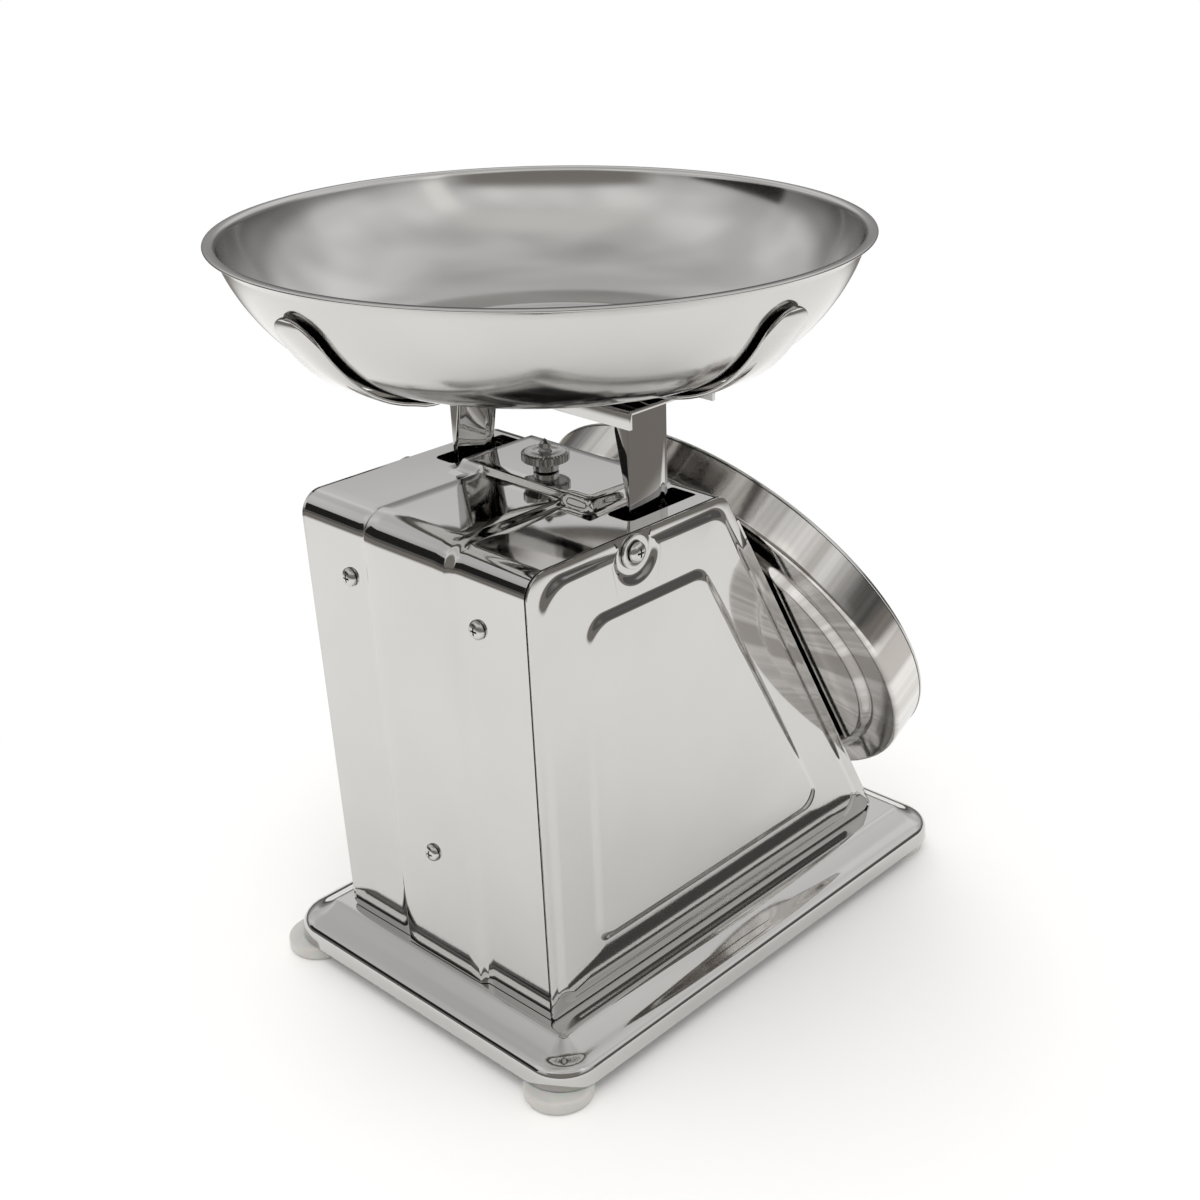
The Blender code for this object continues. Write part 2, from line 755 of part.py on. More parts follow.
def make_screw(name, head, height, shank, parent, turn):
    points, faces = turned(screw_profile(head, height, shank), SMALL_ROUND)
    screw = place(name, points, faces, polished(), parent, turn)
    arm = head * 0.62
    width = head * 0.15
    outline = [
        (-arm, -width),
        (-width, -width),
        (-width, -arm),
        (width, -arm),
        (width, -width),
        (arm, -width),
        (arm, width),
        (width, width),
        (width, arm),
        (-width, arm),
        (-width, width),
        (-arm, width),
    ]
    points, faces = prism(outline, height * 0.35, height * 2, "Z")
    combine(screw, place(name + "_cross", points, faces, None, parent, turn), "DIFFERENCE")


def make_fasteners(housing, dial):
    for name, (x, z) in rear_screws().items():
        seat = GAP + (BAND_HEIGHT if abs(x) < BAND_HALF_WIDTH else 0.0)
        turn = along("+Y", (x, seat, z))
        shank = seat + FRAME_BACK_DEPTH + NUT_END
        make_screw(name, SCREW_HEAD_RADIUS, SCREW_HEAD_HEIGHT, shank, housing, turn)
    height = HOUSING_TOP - SIDE_SCREW_DROP
    for side, axis, word in ((1, "+X", "left"), (-1, "-X", "right")):
        low = HALF_WIDTH + GAP
        turn = along(axis, (side * low, -SIDE_SCREW_DEPTH, height))
        bore = SCREW_SHANK_RADIUS + RUNNING
        profile = [
            (bore, 0),
            (WASHER_RADIUS, 0),
            (WASHER_RADIUS, WASHER_THICKNESS),
            (bore, WASHER_THICKNESS),
        ]
        points, faces = turned(profile, WIDE_ROUND // 2)
        place("side_washer_" + word, points, faces, polished(), housing, turn)
        seat = low + WASHER_THICKNESS + GAP
        turn = along(axis, (side * seat, -SIDE_SCREW_DEPTH, height))
        shank = seat - FRAME_HALF + FRAME_SHEET + NUT_END
        make_screw(
            "side_screw_" + word, SIDE_SCREW_HEAD_RADIUS, SCREW_HEAD_HEIGHT, shank, housing, turn
        )
    for name, (x, y) in case_screws().items():
        seat = 2 * GAP + DIAL_SHEET
        turn = Matrix.Translation((x, y, seat))
        make_screw(name, SCREW_HEAD_RADIUS, SCREW_HEAD_HEIGHT, CASE_SCREW_LENGTH, dial, turn)


# Inner frame and levers


def make_frame(housing):
    back = -FRAME_BACK_DEPTH + FRAME_SHEET
    path = [
        (FRAME_HALF, -FRAME_CHEEK_DEPTH),
        (FRAME_HALF, back),
        (-FRAME_HALF, back),
        (-FRAME_HALF, -FRAME_CHEEK_DEPTH),
    ]
    low, high = HOUSING_FOOT, HOUSING_TOP - FRAME_TOP_DROP
    points, faces = prism(folded(path, FRAME_SHEET), low, high, "Z")
    frame = place("inner_frame", points, faces, plated(), housing)
    drill = SCREW_SHANK_RADIUS + RUNNING
    for name, (x, z) in rear_screws().items():
        hole(frame, name + "_frame_hole", drill, -0.02, 0.005, "Y", (x, 0, z), housing)
    height = HOUSING_TOP - SIDE_SCREW_DROP
    hole(frame, "side_frame_hole", drill, -THROUGH, THROUGH, "X", (0, -SIDE_SCREW_DEPTH, height), housing)
    for word, link in (("upper", UPPER_LINK_HEIGHT), ("lower", LOWER_LINK_HEIGHT)):
        middle = (0, -LEVER_PIVOT_DEPTH, link - TRAVEL / 2)
        drill = LINK_PIN_RADIUS + RUNNING
        hole(frame, word + "_pivot_hole", drill, -THROUGH, THROUGH, "X", middle, housing)
        length = FRAME_WIDTH + 2 * PIVOT_PIN_END
        points, faces = rod(LINK_PIN_RADIUS, length)
        turn = along("+X", (-length / 2, *middle[1:]))
        place(word + "_pivot_pin", points, faces, plated(), housing, turn)


def make_lever(word, link):
    """A parallel-motion lever: a sleeve on the pivot pin, and two arms that end in open forks."""
    height = link - TRAVEL / 2
    pivot = empty(word + "_lever_pivot", (0, REAR_Y - LEVER_PIVOT_DEPTH, height), -LEVER_TILT)
    sleeve = LINK_PIN_RADIUS + RUNNING + SLEEVE_WALL
    points, faces = rod(sleeve, 2 * LEVER_HALF_SPAN)
    lever = place(
        word + "_lever", points, faces, plated(), pivot, along("+X", (-LEVER_HALF_SPAN, 0, 0))
    )
    reach = LEVER_LENGTH + LEVER_FORK_LENGTH
    fork = LINK_PIN_RADIUS + SLOT_PLAY
    mouth = LEVER_LENGTH - fork - SLEEVE_WALL
    half = LEVER_HALF_HEIGHT
    shoulder = mouth - LEVER_FORK_LENGTH
    outline = [
        (sleeve, -sleeve),
        (sleeve, sleeve),
        (-shoulder, half),
        (-reach, half),
        (-reach, fork),
        (-mouth, fork),
        (-mouth, -fork),
        (-reach, -fork),
        (-reach, -half),
        (-shoulder, -half),
    ]
    for side, name in ((1, "left"), (-1, "right")):
        near = side * (LEVER_HALF_SPAN - LEVER_SHEET)
        far = side * (LEVER_HALF_SPAN + LEVER_PROUD)
        points, faces = prism(outline, near, far, "X")
        arm = place(word + "_lever_arm_" + name, points, faces, None, pivot)
        combine(lever, arm, "UNION")
    bore = LINK_PIN_RADIUS + RUNNING
    hole(lever, word + "_lever_bore", bore, -THROUGH, THROUGH, "X", (0, 0, 0), pivot)


# Weighing platform


def make_posts(platform):
    top = CHANNEL_TOP - CHANNEL_SHEET - GAP
    flange_start = HOUSING_TOP + POST_TAPER_START
    low = YOKE_HEIGHT - YOKE_DROP
    half = POST_WIDTH / 2
    t = POST_SHEET
    for side, word in ((1, "left"), (-1, "right")):
        loops = []
        full = top - POST_TAPER_END
        for z, flange in ((low, t), (flange_start, t), (full, POST_FLANGE), (top, POST_FLANGE)):
            outline = [
                (0, -half),
                (flange, -half),
                (flange, t - half),
                (t, t - half),
                (t, half - t),
                (flange, half - t),
                (flange, half),
                (0, half),
            ]
            face = POST_X + t / 2
            loops.append([(side * (face - x), y, z) for x, y in outline])
        points, faces = lofted(loops)
        post = place("post_" + word, points, faces, polished(), platform)
        for name, link in (("upper", UPPER_LINK_HEIGHT), ("lower", LOWER_LINK_HEIGHT)):
            hole(
                post,
                "post_" + word + "_" + name + "_hole",
                LINK_PIN_RADIUS + RUNNING,
                -THROUGH,
                THROUGH,
                "X",
                (0, PAN_DEPTH - LINK_PIN_DEPTH, link),
                platform,
            )
    for name, link in (("upper", UPPER_LINK_HEIGHT), ("lower", LOWER_LINK_HEIGHT)):
        length = POST_SPACING + 2 * LINK_PIN_END
        points, faces = rod(LINK_PIN_RADIUS, length)
        turn = along("+X", (-length / 2, PAN_DEPTH - LINK_PIN_DEPTH, link))
        place(name + "_link_pin", points, faces, plated(), platform, turn)


def make_channel(platform):
    half = CHANNEL_WIDTH / 2
    low = CHANNEL_TOP - CHANNEL_FLANGE
    edge = CHANNEL_BEND
    path = [(half, low), (half, CHANNEL_TOP - edge), (half - edge, CHANNEL_TOP)]
    path = path + [(-y, z) for y, z in reversed(path)]
    outline = folded(path, CHANNEL_SHEET)
    length = CHANNEL_LENGTH / 2
    points, faces = prism(outline, -length, length, "X")
    place("platform_channel", points, faces, polished(), platform)


def make_yoke(platform):
    reach = POST_X - POST_SHEET / 2 - GAP
    front = -YOKE_WIDTH / 2
    rear = YOKE_WIDTH / 2
    outline = rectangle(reach, front, rear)
    points, faces = prism(outline, YOKE_HEIGHT - YOKE_SHEET, YOKE_HEIGHT, "Z")
    place("spring_yoke", points, faces, plated(), platform)
    middle = YOKE_HEIGHT - YOKE_SHEET / 2
    pin_y = PAN_DEPTH - drive_pin_depth()
    start = front - GAP
    end = pin_y - DRIVE_ARM_HALF_HEIGHT
    low, high = middle - DRIVE_ARM_HALF_HEIGHT, middle + DRIVE_ARM_HALF_HEIGHT
    outline = [(end, low), (start, low), (start, high), (end, high)]
    points, faces = prism(outline, DRIVE_ARM_X, DRIVE_ARM_X + DRIVE_ARM_SHEET, "X")
    arm = place("drive_arm", points, faces, plated(), platform)
    drill = DRIVE_PIN_RADIUS + RUNNING
    hole(arm, "drive_pin_hole", drill, -THROUGH, THROUGH, "X", (0, pin_y, middle), platform)
    low = rack_tab_x() - DRIVE_PIN_END
    high = DRIVE_ARM_X + DRIVE_ARM_SHEET + DRIVE_PIN_END
    points, faces = rod(DRIVE_PIN_RADIUS, high - low)
    place("drive_pin", points, faces, plated(), platform, along("+X", (low, pin_y, middle)))


def bowl_profile(steps=BOWL_STEPS):
    """Radius and height of the bowl's outer skin, a superellipse from the flat bottom up to the rim."""
    points = []
    span = BOWL_RIM_RADIUS - BOWL_FLAT_RADIUS
    for i in range(steps + 1):
        turn = math.radians(90) * (i / steps) ** BOWL_STEP_SPREAD
        radius = BOWL_FLAT_RADIUS + span * math.sin(turn) ** BOWL_WALL_POWER
        height = BOWL_BOTTOM + BOWL_DEPTH * (1 - math.cos(turn) ** BOWL_RIM_POWER)
        points.append((radius, height))
    return points


def offset_profile(points, distance):
    """A profile moved to the outer side by a distance."""
    moved = []
    for i, point in enumerate(points):
        before = Vector(points[max(i - 1, 0)])
        after = Vector(points[min(i + 1, len(points) - 1)])
        along_it = (after - before).normalized()
        moved.append(
            (point[0] + along_it.y * distance, point[1] - along_it.x * distance)
        )
    return moved


def arm_path(flat_top):
    """The middle of an arm's upper face: flat under the bowl, then up its wall. Radius and height."""
    wall = [p for p in offset_profile(bowl_profile(ARM_STEPS), ARM_STANDOFF) if p[1] > flat_top + ARM_SHEET]
    wall = [p for p in wall if p[1] < BOWL_RIM - ARM_END_DROP]
    join = (wall[0][0] - ARM_BEND, flat_top)
    return [(0.0, flat_top), (join[0] * 0.5, flat_top), join] + wall


def make_arm(name, flat_top, direction, platform):
    path = arm_path(flat_top)
    along_path = [0.0]
    for a, b in zip(path, path[1:]):
        along_path.append(along_path[-1] + math.dist(a, b))
    total = along_path[-1]
    half = ARM_WIDTH / 2
    lower = offset_profile(path, ARM_SHEET)
    stations = []
    for (r, z), (r2, z2), s in zip(path, lower, along_path):
        stations.append((r, z, r2, z2, half if total - s > half else None, s))
    # The end is a half disc, so its last stations follow a circle.
    kept = [s for s in stations if s[4]]
    for k in range(1, 6):
        s = total - half + half * math.sin(math.radians(18 * k)) * 0.995
        width = half * math.cos(math.radians(18 * k)) if k < 5 else half * 0.12
        j = max(i for i in range(len(along_path) - 1) if along_path[i] <= s)
        f = (s - along_path[j]) / (along_path[j + 1] - along_path[j])
        r = path[j][0] + f * (path[j + 1][0] - path[j][0])
        z = path[j][1] + f * (path[j + 1][1] - path[j][1])
        r2 = lower[j][0] + f * (lower[j + 1][0] - lower[j][0])
        z2 = lower[j][1] + f * (lower[j + 1][1] - lower[j][1])
        kept.append((r, z, r2, z2, width, s))
    loops = []
    mirrored = [(-r, z, -r2, z2, w, -s) for r, z, r2, z2, w, s in reversed(kept[1:])]
    for r, z, r2, z2, width, _ in mirrored + kept:
        if direction == "X":
            loops.append([(r, -width, z), (r, width, z), (r2, width, z2), (r2, -width, z2)])
        else:
            loops.append([(-width, r, z), (width, r, z), (width, r2, z2), (-width, r2, z2)])
    points, faces = lofted(loops)
    place(name, points, faces, polished(), platform)


def make_bowl(pan):
    outer = bowl_profile()
    inner = offset_profile(outer, -BOWL_SHEET)
    bead = arc((BOWL_RIM_RADIUS, BOWL_RIM), RIM_BEAD_RADIUS, -70, 150, 4)
    profile = [(0, BOWL_BOTTOM)] + outer[:-1] + bead + inner[:-1][::-1]
    profile.append((0, BOWL_BOTTOM + BOWL_SHEET))
    points, faces = turned(profile, WIDE_ROUND)
    place("weighing_bowl", points, faces, polished(), pan)


# Zero adjuster and springs


def make_zero_adjuster(nut, hanger):
    seat = HOUSING_TOP + PLATEAU_HEIGHT + GAP
    bore = ZERO_SCREW_RADIUS + RUNNING
    disc = seat + NUT_NECK_HEIGHT
    top = disc + NUT_THICKNESS
    profile = [
        (bore, seat),
        (NUT_NECK_RADIUS, seat),
        (NUT_NECK_RADIUS, disc),
        (NUT_RADIUS - NUT_EDGE, disc),
        (NUT_RADIUS, disc + NUT_EDGE),
        (NUT_RADIUS, top - NUT_EDGE),
        (NUT_RADIUS - NUT_EDGE, top),
        (bore, top),
    ]
    points, faces = turned(profile, WIDE_ROUND * 3 // 4)
    place("zero_nut", points, faces, polished(), nut)
    low = HANGER_HEIGHT - HANGER_SHEET / 4
    tip = top + ZERO_SCREW_TIP
    r = ZERO_SCREW_RADIUS
    shape = [(0, low), (r, low)]
    shape += [(r * (1 - share**2), tip - r * 1.4 * (1 - share)) for share in (0.0, 0.45, 0.75)]
    shape.append((0, tip))
    points, faces = turned(shape, SMALL_ROUND)
    screw = place("zero_hanger", points, faces, plated(), hanger)
    outline = rectangle(HANGER_HALF_LENGTH, -HANGER_HALF_WIDTH, HANGER_HALF_WIDTH)
    points, faces = prism(outline, HANGER_HEIGHT - HANGER_SHEET, HANGER_HEIGHT, "Z")
    combine(screw, place("hanger_bar", points, faces, None, hanger), "UNION")


def make_springs(housing):
    """Two extension springs, from the hanger's bar down to the yoke."""
    wire = SPRING_WIRE / 2
    top = HANGER_HEIGHT - HANGER_SHEET - GAP
    low = YOKE_HEIGHT + GAP
    coil_top, coil_low = top - SPRING_HOOK, low + SPRING_HOOK
    steps = 8
    for side, word in ((1, "left"), (-1, "right")):
        x, y = side * SPRING_X, -ZERO_DEPTH
        path = [(x, y, top), (x, y, top - SPRING_HOOK * 0.5)]
        count = SPRING_TURNS * steps
        for i in range(count + 1):
            turn = 2 * math.pi * i / steps
            ease = min(1.0, i / steps, (count - i) / steps)
            radius = (SPRING_RADIUS - wire) * (0.25 + 0.75 * ease)
            z = coil_top + (coil_low - coil_top) * i / count
            path.append((x + radius * math.cos(turn), y + radius * math.sin(turn), z))
        path += [(x, y, low + SPRING_HOOK * 0.5), (x, y, low)]
        curve = bpy.data.curves.new("spring_" + word, "CURVE")
        curve.dimensions = "3D"
        curve.bevel_depth = wire
        curve.bevel_resolution = 0
        curve.use_fill_caps = True
        spline = curve.splines.new("POLY")
        spline.points.add(len(path) - 1)
        for point, where in zip(spline.points, path):
            point.co = (*where, 1.0)
        curve.materials.append(plated())
        made = bpy.data.objects.new("spring_" + word, curve)
        bpy.context.scene.collection.objects.link(made)
        made.parent = housing


# Dial drum


def make_dial_case(dial):
    r = DIAL_RADIUS - GAP
    edge = DIAL_BACK_RADIUS
    slope = DIAL_BOSS_SLOPE
    back = DIAL_STANDOFF
    lip = GLASS_SEAT - GAP
    boss = DIAL_BOSS_RADIUS
    seat = DIAL_SEAT_RADIUS
    ring = GAP + DIAL_RELIEF
    t = DIAL_SHEET
    bore = BUSH_RADIUS + RUNNING
    profile = [
        (r, lip),
        (r, back + edge),
        (r - edge * 0.3, back + edge * 0.3),
        (r - edge, back),
        (boss + slope, back),
        (boss, ring),
        (seat + DIAL_SEAT_SLOPE, ring),
        (seat, GAP),
        (bore, GAP),
        (bore, GAP + t),
        (seat - t * 0.2, GAP + t),
        (seat + DIAL_SEAT_SLOPE - t * 0.2, ring + t),
        (boss - t * 0.7, ring + t),
        (boss + slope - t * 0.7, back + t),
        (r - edge - t * 0.4, back + t),
        (r - t, back + edge + t * 0.4),
        (r - t, lip),
    ]
    points, faces = turned(profile, WIDE_ROUND)
    case = place("dial_case", points, faces, polished(), dial)
    for name, (x, y) in case_screws().items():
        radius = SCREW_SHANK_RADIUS + RUNNING
        hole(case, name + "_case_hole", radius, -back, back, "Z", (x, y, 0), dial)


def make_dial_front(dial):
    front = GLASS_SEAT + BEZEL_DEPTH
    r = DIAL_RADIUS
    glass_r = r - BEZEL_SHEET - GAP
    glass_top = GLASS_SEAT + GLASS_THICKNESS
    profile = [
        (glass_r + GAP, GLASS_SEAT),
        (r, GLASS_SEAT),
        (r, front - BEZEL_EDGE),
        (r - BEZEL_EDGE, front),
        (BEZEL_OPENING + BEZEL_EDGE, front),
        (BEZEL_OPENING, glass_top + GAP),
        (glass_r + GAP, glass_top + GAP),
    ]
    points, faces = turned(profile, WIDE_ROUND)
    place("dial_bezel", points, faces, polished(), dial)
    glass = material("dial_glass", (0.9, 0.93, 0.93), 0.02, 0.0, 0.25)
    profile = [(0, GLASS_SEAT), (glass_r, GLASS_SEAT), (glass_r, glass_top), (0, glass_top)]
    points, faces = turned(profile, WIDE_ROUND)
    place("dial_glass", points, faces, glass, dial)
    paint = material("dial_paint", (0.90, 0.89, 0.86), 0.5, 0.0)
    face = DIAL_FACE_HEIGHT
    rim = DIAL_STANDOFF + DIAL_SHEET + GAP
    t = DIAL_FACE_SHEET
    r = DIAL_FACE_RADIUS
    bore = DIAL_FACE_BORE
    profile = [
        (bore, face),
        (r - t, face),
        (r, face - t),
        (r, rim),
        (r - t, rim),
        (r - t, face - 1.5 * t),
        (bore, face - t),
    ]
    points, faces = turned(profile, WIDE_ROUND)
    place("dial_face", points, faces, paint, dial)


def make_bush(dial):
    bore = SPINDLE_RADIUS + RUNNING
    seat = 2 * GAP + DIAL_SHEET
    profile = [
        (bore, -BUSH_LENGTH),
        (BUSH_RADIUS, -BUSH_LENGTH),
        (BUSH_RADIUS, seat),
        (BUSH_FLANGE_RADIUS, seat),
        (BUSH_FLANGE_RADIUS, seat + BUSH_FLANGE / 2),
        (BUSH_RADIUS * 0.7, seat + BUSH_FLANGE),
        (bore, seat + BUSH_FLANGE),
    ]
    points, faces = turned(profile, WIDE_ROUND // 2)
    place("spindle_bush", points, faces, brass(), dial)


def make_bridge(dial):
    """The bracket behind the front panel that holds the spindle's rear end and the rack's guide."""
    half = BRIDGE_HALF_WIDTH
    t = BRIDGE_SHEET
    back = -PINION_BACK - 2 * t
    top = -HOUSING_SHEET - GAP
    path = [(-half, top), (-half, back), (half, back), (half, top)]
    path = path[::-1]
    points, faces = prism(folded(path, -t), -BRIDGE_HALF_HEIGHT, BRIDGE_HALF_HEIGHT, "Y")
    bridge = place("movement_bridge", points, faces, plated(), dial)
    hole(
        bridge,
        "bridge_bore",
        SPINDLE_RADIUS + RUNNING,
        back - t,
        back + 2 * t,
        "Z",
        (0, 0, 0),
        dial,
    )
    low = RACK_TIP_X + RACK_WIDTH + RUNNING
    high = half - t - GAP
    reach = GUIDE_HALF_LENGTH
    outline = [(low, -reach), (high, -reach), (high, reach), (low, reach)]
    points, faces = prism(outline, -PINION_BACK - t / 2, -PINION_BACK + PINION_WIDTH + t / 2, "Z")
    place("rack_guide", points, faces, brass(), dial)


def make_spindle(needle):
    """The spindle with its pinion teeth cut on it."""
    low = -PINION_BACK - 3 * BRIDGE_SHEET
    high = POINTER_HEIGHT + POINTER_HUB_THICKNESS + GAP
    points, faces = rod(SPINDLE_RADIUS, high - low)
    spindle = place("pinion_spindle", points, faces, brass(), needle, Matrix.Translation((0, 0, low)))
    outline = []
    root = PINION_TIP - TOOTH_DEPTH
    for i in range(PINION_TEETH):
        tooth = ((0.0, root), (0.22, root), (0.40, PINION_TIP), (0.70, PINION_TIP), (0.88, root))
        for share, radius in tooth:
            angle = 2 * math.pi * (i + share) / PINION_TEETH
            outline.append((radius * math.cos(angle), radius * math.sin(angle)))
    points, faces = prism(outline, -PINION_BACK, -PINION_BACK + PINION_WIDTH, "Z")
    combine(spindle, place("pinion_teeth", points, faces, None, needle), "UNION")


def make_pointer(needle):
    low = POINTER_HEIGHT
    points, faces = rod(POINTER_HUB_RADIUS, POINTER_HUB_THICKNESS, FOOT_ROUND)
    pointer = place("pointer", points, faces, None, needle, Matrix.Translation((0, 0, low)))
    pointer.data.materials.append(material("pointer_paint", (0.75, 0.05, 0.04), 0.4, 0.0))
    half = POINTER_HALF_WIDTH
    outline = [
        (-half, -POINTER_TAIL),
        (half, -POINTER_TAIL),
        (half * 0.6, 0.0),
        (half * 0.15, POINTER_LENGTH),
        (-half * 0.15, POINTER_LENGTH),
        (-half * 0.6, 0.0),
    ]
    blade = low + POINTER_SHEET
    points, faces = prism(outline, blade, blade + POINTER_SHEET, "Z")
    combine(pointer, place("needle_blade", points, faces, None, needle), "UNION")
    bore = SPINDLE_RADIUS + RUNNING
    hole(pointer, "pointer_bore", bore, 0.0, 2 * low, "Z", (0, 0, 0), needle)
    r, t = CAP_RADIUS, CAP_THICKNESS
    profile = [
        (0, CAP_SEAT),
        (r, CAP_SEAT),
        (r * 0.95, CAP_SEAT + t * 0.4),
        (r * 0.5, CAP_SEAT + t * 0.85),
        (0, CAP_SEAT + t),
    ]
    points, faces = turned(profile, FOOT_ROUND)
    place("pointer_cap", points, faces, brass(), needle)


# Rack


def pinion_point():
    """Depth and height of the middle of the pinion."""
    back = PINION_BACK - PINION_WIDTH / 2
    return DIAL_DEPTH - back * math.cos(SLOPE), DIAL_HEIGHT - back * math.sin(SLOPE)


def rack_tab_x():
    return DRIVE_ARM_X - GAP - RACK_TAB_SHEET


def drive_pin_depth():
    """Depth of the drive pin at rest, at the front end of the rack's slot."""
    depth, height = pinion_point()
    middle = YOKE_HEIGHT - YOKE_SHEET / 2
    return depth + (height - middle) * math.tan(SLOPE) - RACK_SLOT_OFFSET


def make_rack(rack):
    """A toothed bar that slides along the front's slope, with a level slot for the drive pin at its foot."""
    depth, height = pinion_point()
    middle = YOKE_HEIGHT - YOKE_SHEET / 2
    pin_drop = (height - middle) / math.cos(SLOPE)
    pitch = 2 * math.pi * PINION_RADIUS / PINION_TEETH
    root = RACK_TIP_X + TOOTH_DEPTH
    back = RACK_TIP_X + RACK_WIDTH
    teeth = int(RACK_TRAVEL / pitch) + 4
    foot = -pin_drop - SLOT_WALL
    outline = [(back, foot), (back, teeth * pitch)]
    start = -2.5 * pitch
    outline.append((root, teeth * pitch))
    for i in reversed(range(teeth)):
        base = start + i * pitch
        for share, x in ((0.80, root), (0.62, RACK_TIP_X), (0.38, RACK_TIP_X), (0.20, root)):
            outline.append((x, base + share * pitch))
    outline.append((root, foot))
    points, faces = prism(outline, -PINION_WIDTH / 2, PINION_WIDTH / 2, "Z")
    tilt = Matrix.Rotation(math.pi / 2 - SLOPE, 4, "X")
    bar = place("rack", points, faces, brass(), rack, tilt)
    drop = middle - height
    pin = depth - drive_pin_depth()
    reach = TRAVEL * math.tan(SLOPE)
    clear = DRIVE_PIN_RADIUS + SLOT_PLAY
    near = rack_tab_x()
    far = near + RACK_TAB_SHEET
    border = clear + SLOT_WALL
    high_z, low_z = drop + border, drop - border
    front_y = pin - border - SLOT_WALL
    rear_y = pin + reach + border
    outline = [(front_y, low_z), (rear_y, low_z), (rear_y, high_z), (front_y, high_z)]
    points, faces = prism(outline, near, far, "X")
    combine(bar, place("rack_tab", points, faces, None, rack), "UNION")
    slot = [
        (pin - clear, drop - clear),
        (pin + reach + clear, drop - clear),
        (pin + reach + clear, drop + clear),
        (pin - clear, drop + clear),
    ]
    points, faces = prism(slot, near - RACK_WIDTH, far + RACK_WIDTH, "X")
    combine(bar, place("rack_slot", points, faces, None, rack), "DIFFERENCE")


def main():
    for old in list(bpy.data.objects):
        bpy.data.objects.remove(old, do_unlink=True)
    housing = empty("housing", (0, REAR_Y, 0))
    tilt = math.pi / 2 - SLOPE
    dial_place = (0, REAR_Y - DIAL_DEPTH, DIAL_HEIGHT)
    dial = empty("dial_axis", dial_place, tilt)
    needle = empty("needle_axis", dial_place, tilt)
    platform = empty("platform_travel", (0, REAR_Y - PAN_DEPTH, 0))
    pan = empty("bowl_lift", (0, REAR_Y - PAN_DEPTH, 0))
    nut = empty("zero_nut_axis", (0, REAR_Y - ZERO_DEPTH, 0))
    hanger = empty("zero_hanger_travel", (0, REAR_Y - ZERO_DEPTH, 0))
    depth, height = pinion_point()
    rack = empty("rack_travel", (0, REAR_Y - depth, height))
    make_base(housing)
    make_side_panel("side_panel_left", 1, housing)
    make_side_panel("side_panel_right", -1, housing)
    make_rear_top_cover(housing)
    make_front_panel(dial)
    make_frame(housing)
    make_fasteners(housing, dial)
    make_lever("upper", UPPER_LINK_HEIGHT)
    make_lever("lower", LOWER_LINK_HEIGHT)
    make_posts(platform)
    make_channel(platform)
    make_arm("side_arms", SIDE_ARM_TOP, "X", platform)
    make_arm("cross_arms", CROSS_ARM_TOP, "Y", platform)
    make_yoke(platform)
    make_bowl(pan)
    make_zero_adjuster(nut, hanger)
    make_springs(housing)
    make_dial_case(dial)
    make_dial_front(dial)
    make_bush(dial)
    make_bridge(dial)
    make_spindle(needle)
    make_pointer(needle)
    make_rack(rack)


main()
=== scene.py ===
"""A kitchen scale in mirror-polished stainless steel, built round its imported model."""

import json
import math

import bmesh
import bpy
from bpy.props import FloatProperty, IntProperty, PointerProperty, StringProperty
from mathutils import Matrix, Vector


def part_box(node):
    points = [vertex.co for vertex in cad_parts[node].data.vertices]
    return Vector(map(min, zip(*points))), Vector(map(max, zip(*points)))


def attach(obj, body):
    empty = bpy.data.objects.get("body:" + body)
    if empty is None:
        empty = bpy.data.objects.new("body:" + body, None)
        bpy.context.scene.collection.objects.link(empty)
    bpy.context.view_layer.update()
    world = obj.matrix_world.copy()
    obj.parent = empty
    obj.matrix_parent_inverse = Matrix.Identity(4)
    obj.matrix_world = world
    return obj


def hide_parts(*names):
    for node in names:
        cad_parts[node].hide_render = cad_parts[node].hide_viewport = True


bl_info = {
    "name": "Kitchen scale",
    "version": (1, 0, 0),
    "blender": (4, 5, 0),
    "location": "3D View > Sidebar > Kitchen scale",
    "description": "Builds a bowl scale in polished stainless steel, and its studio",
    "category": "Object",
}

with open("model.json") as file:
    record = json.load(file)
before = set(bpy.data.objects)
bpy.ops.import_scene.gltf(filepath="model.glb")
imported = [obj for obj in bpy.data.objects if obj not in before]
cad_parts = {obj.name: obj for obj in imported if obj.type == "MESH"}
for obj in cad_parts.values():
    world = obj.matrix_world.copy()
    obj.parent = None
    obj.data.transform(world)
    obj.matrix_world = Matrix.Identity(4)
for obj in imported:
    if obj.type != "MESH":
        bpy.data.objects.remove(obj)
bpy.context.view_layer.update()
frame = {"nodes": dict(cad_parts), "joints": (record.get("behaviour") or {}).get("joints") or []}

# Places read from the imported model
JOINTS = {joint["name"]: joint for joint in frame["joints"]}
PANEL_LOW, PANEL_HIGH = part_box("side_panel_left")
PAN_LOW, PAN_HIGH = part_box("base_pan")
BOWL_LOW, BOWL_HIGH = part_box("weighing_bowl")
COVER_LOW, COVER_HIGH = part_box("rear_top_cover")
REAR = PANEL_HIGH.y
FOOT = PANEL_LOW.z
TOP = PANEL_HIGH.z
FOOT_DEPTH = REAR - PANEL_LOW.y
DIAL_CENTRE = Vector(JOINTS["needle_turn"]["pos_m"])
DIAL_NORMAL = Vector(JOINTS["needle_turn"]["axis"])
SLOPE = math.asin(DIAL_NORMAL.z)
TOP_DEPTH = FOOT_DEPTH - (TOP - FOOT) * math.tan(SLOPE)
DIAL = Matrix.Translation(DIAL_CENTRE) @ Matrix.Rotation(math.pi / 2 - SLOPE, 4, "X")
BOWL_AXIS = (BOWL_LOW + BOWL_HIGH) / 2
GAP = 0.0003

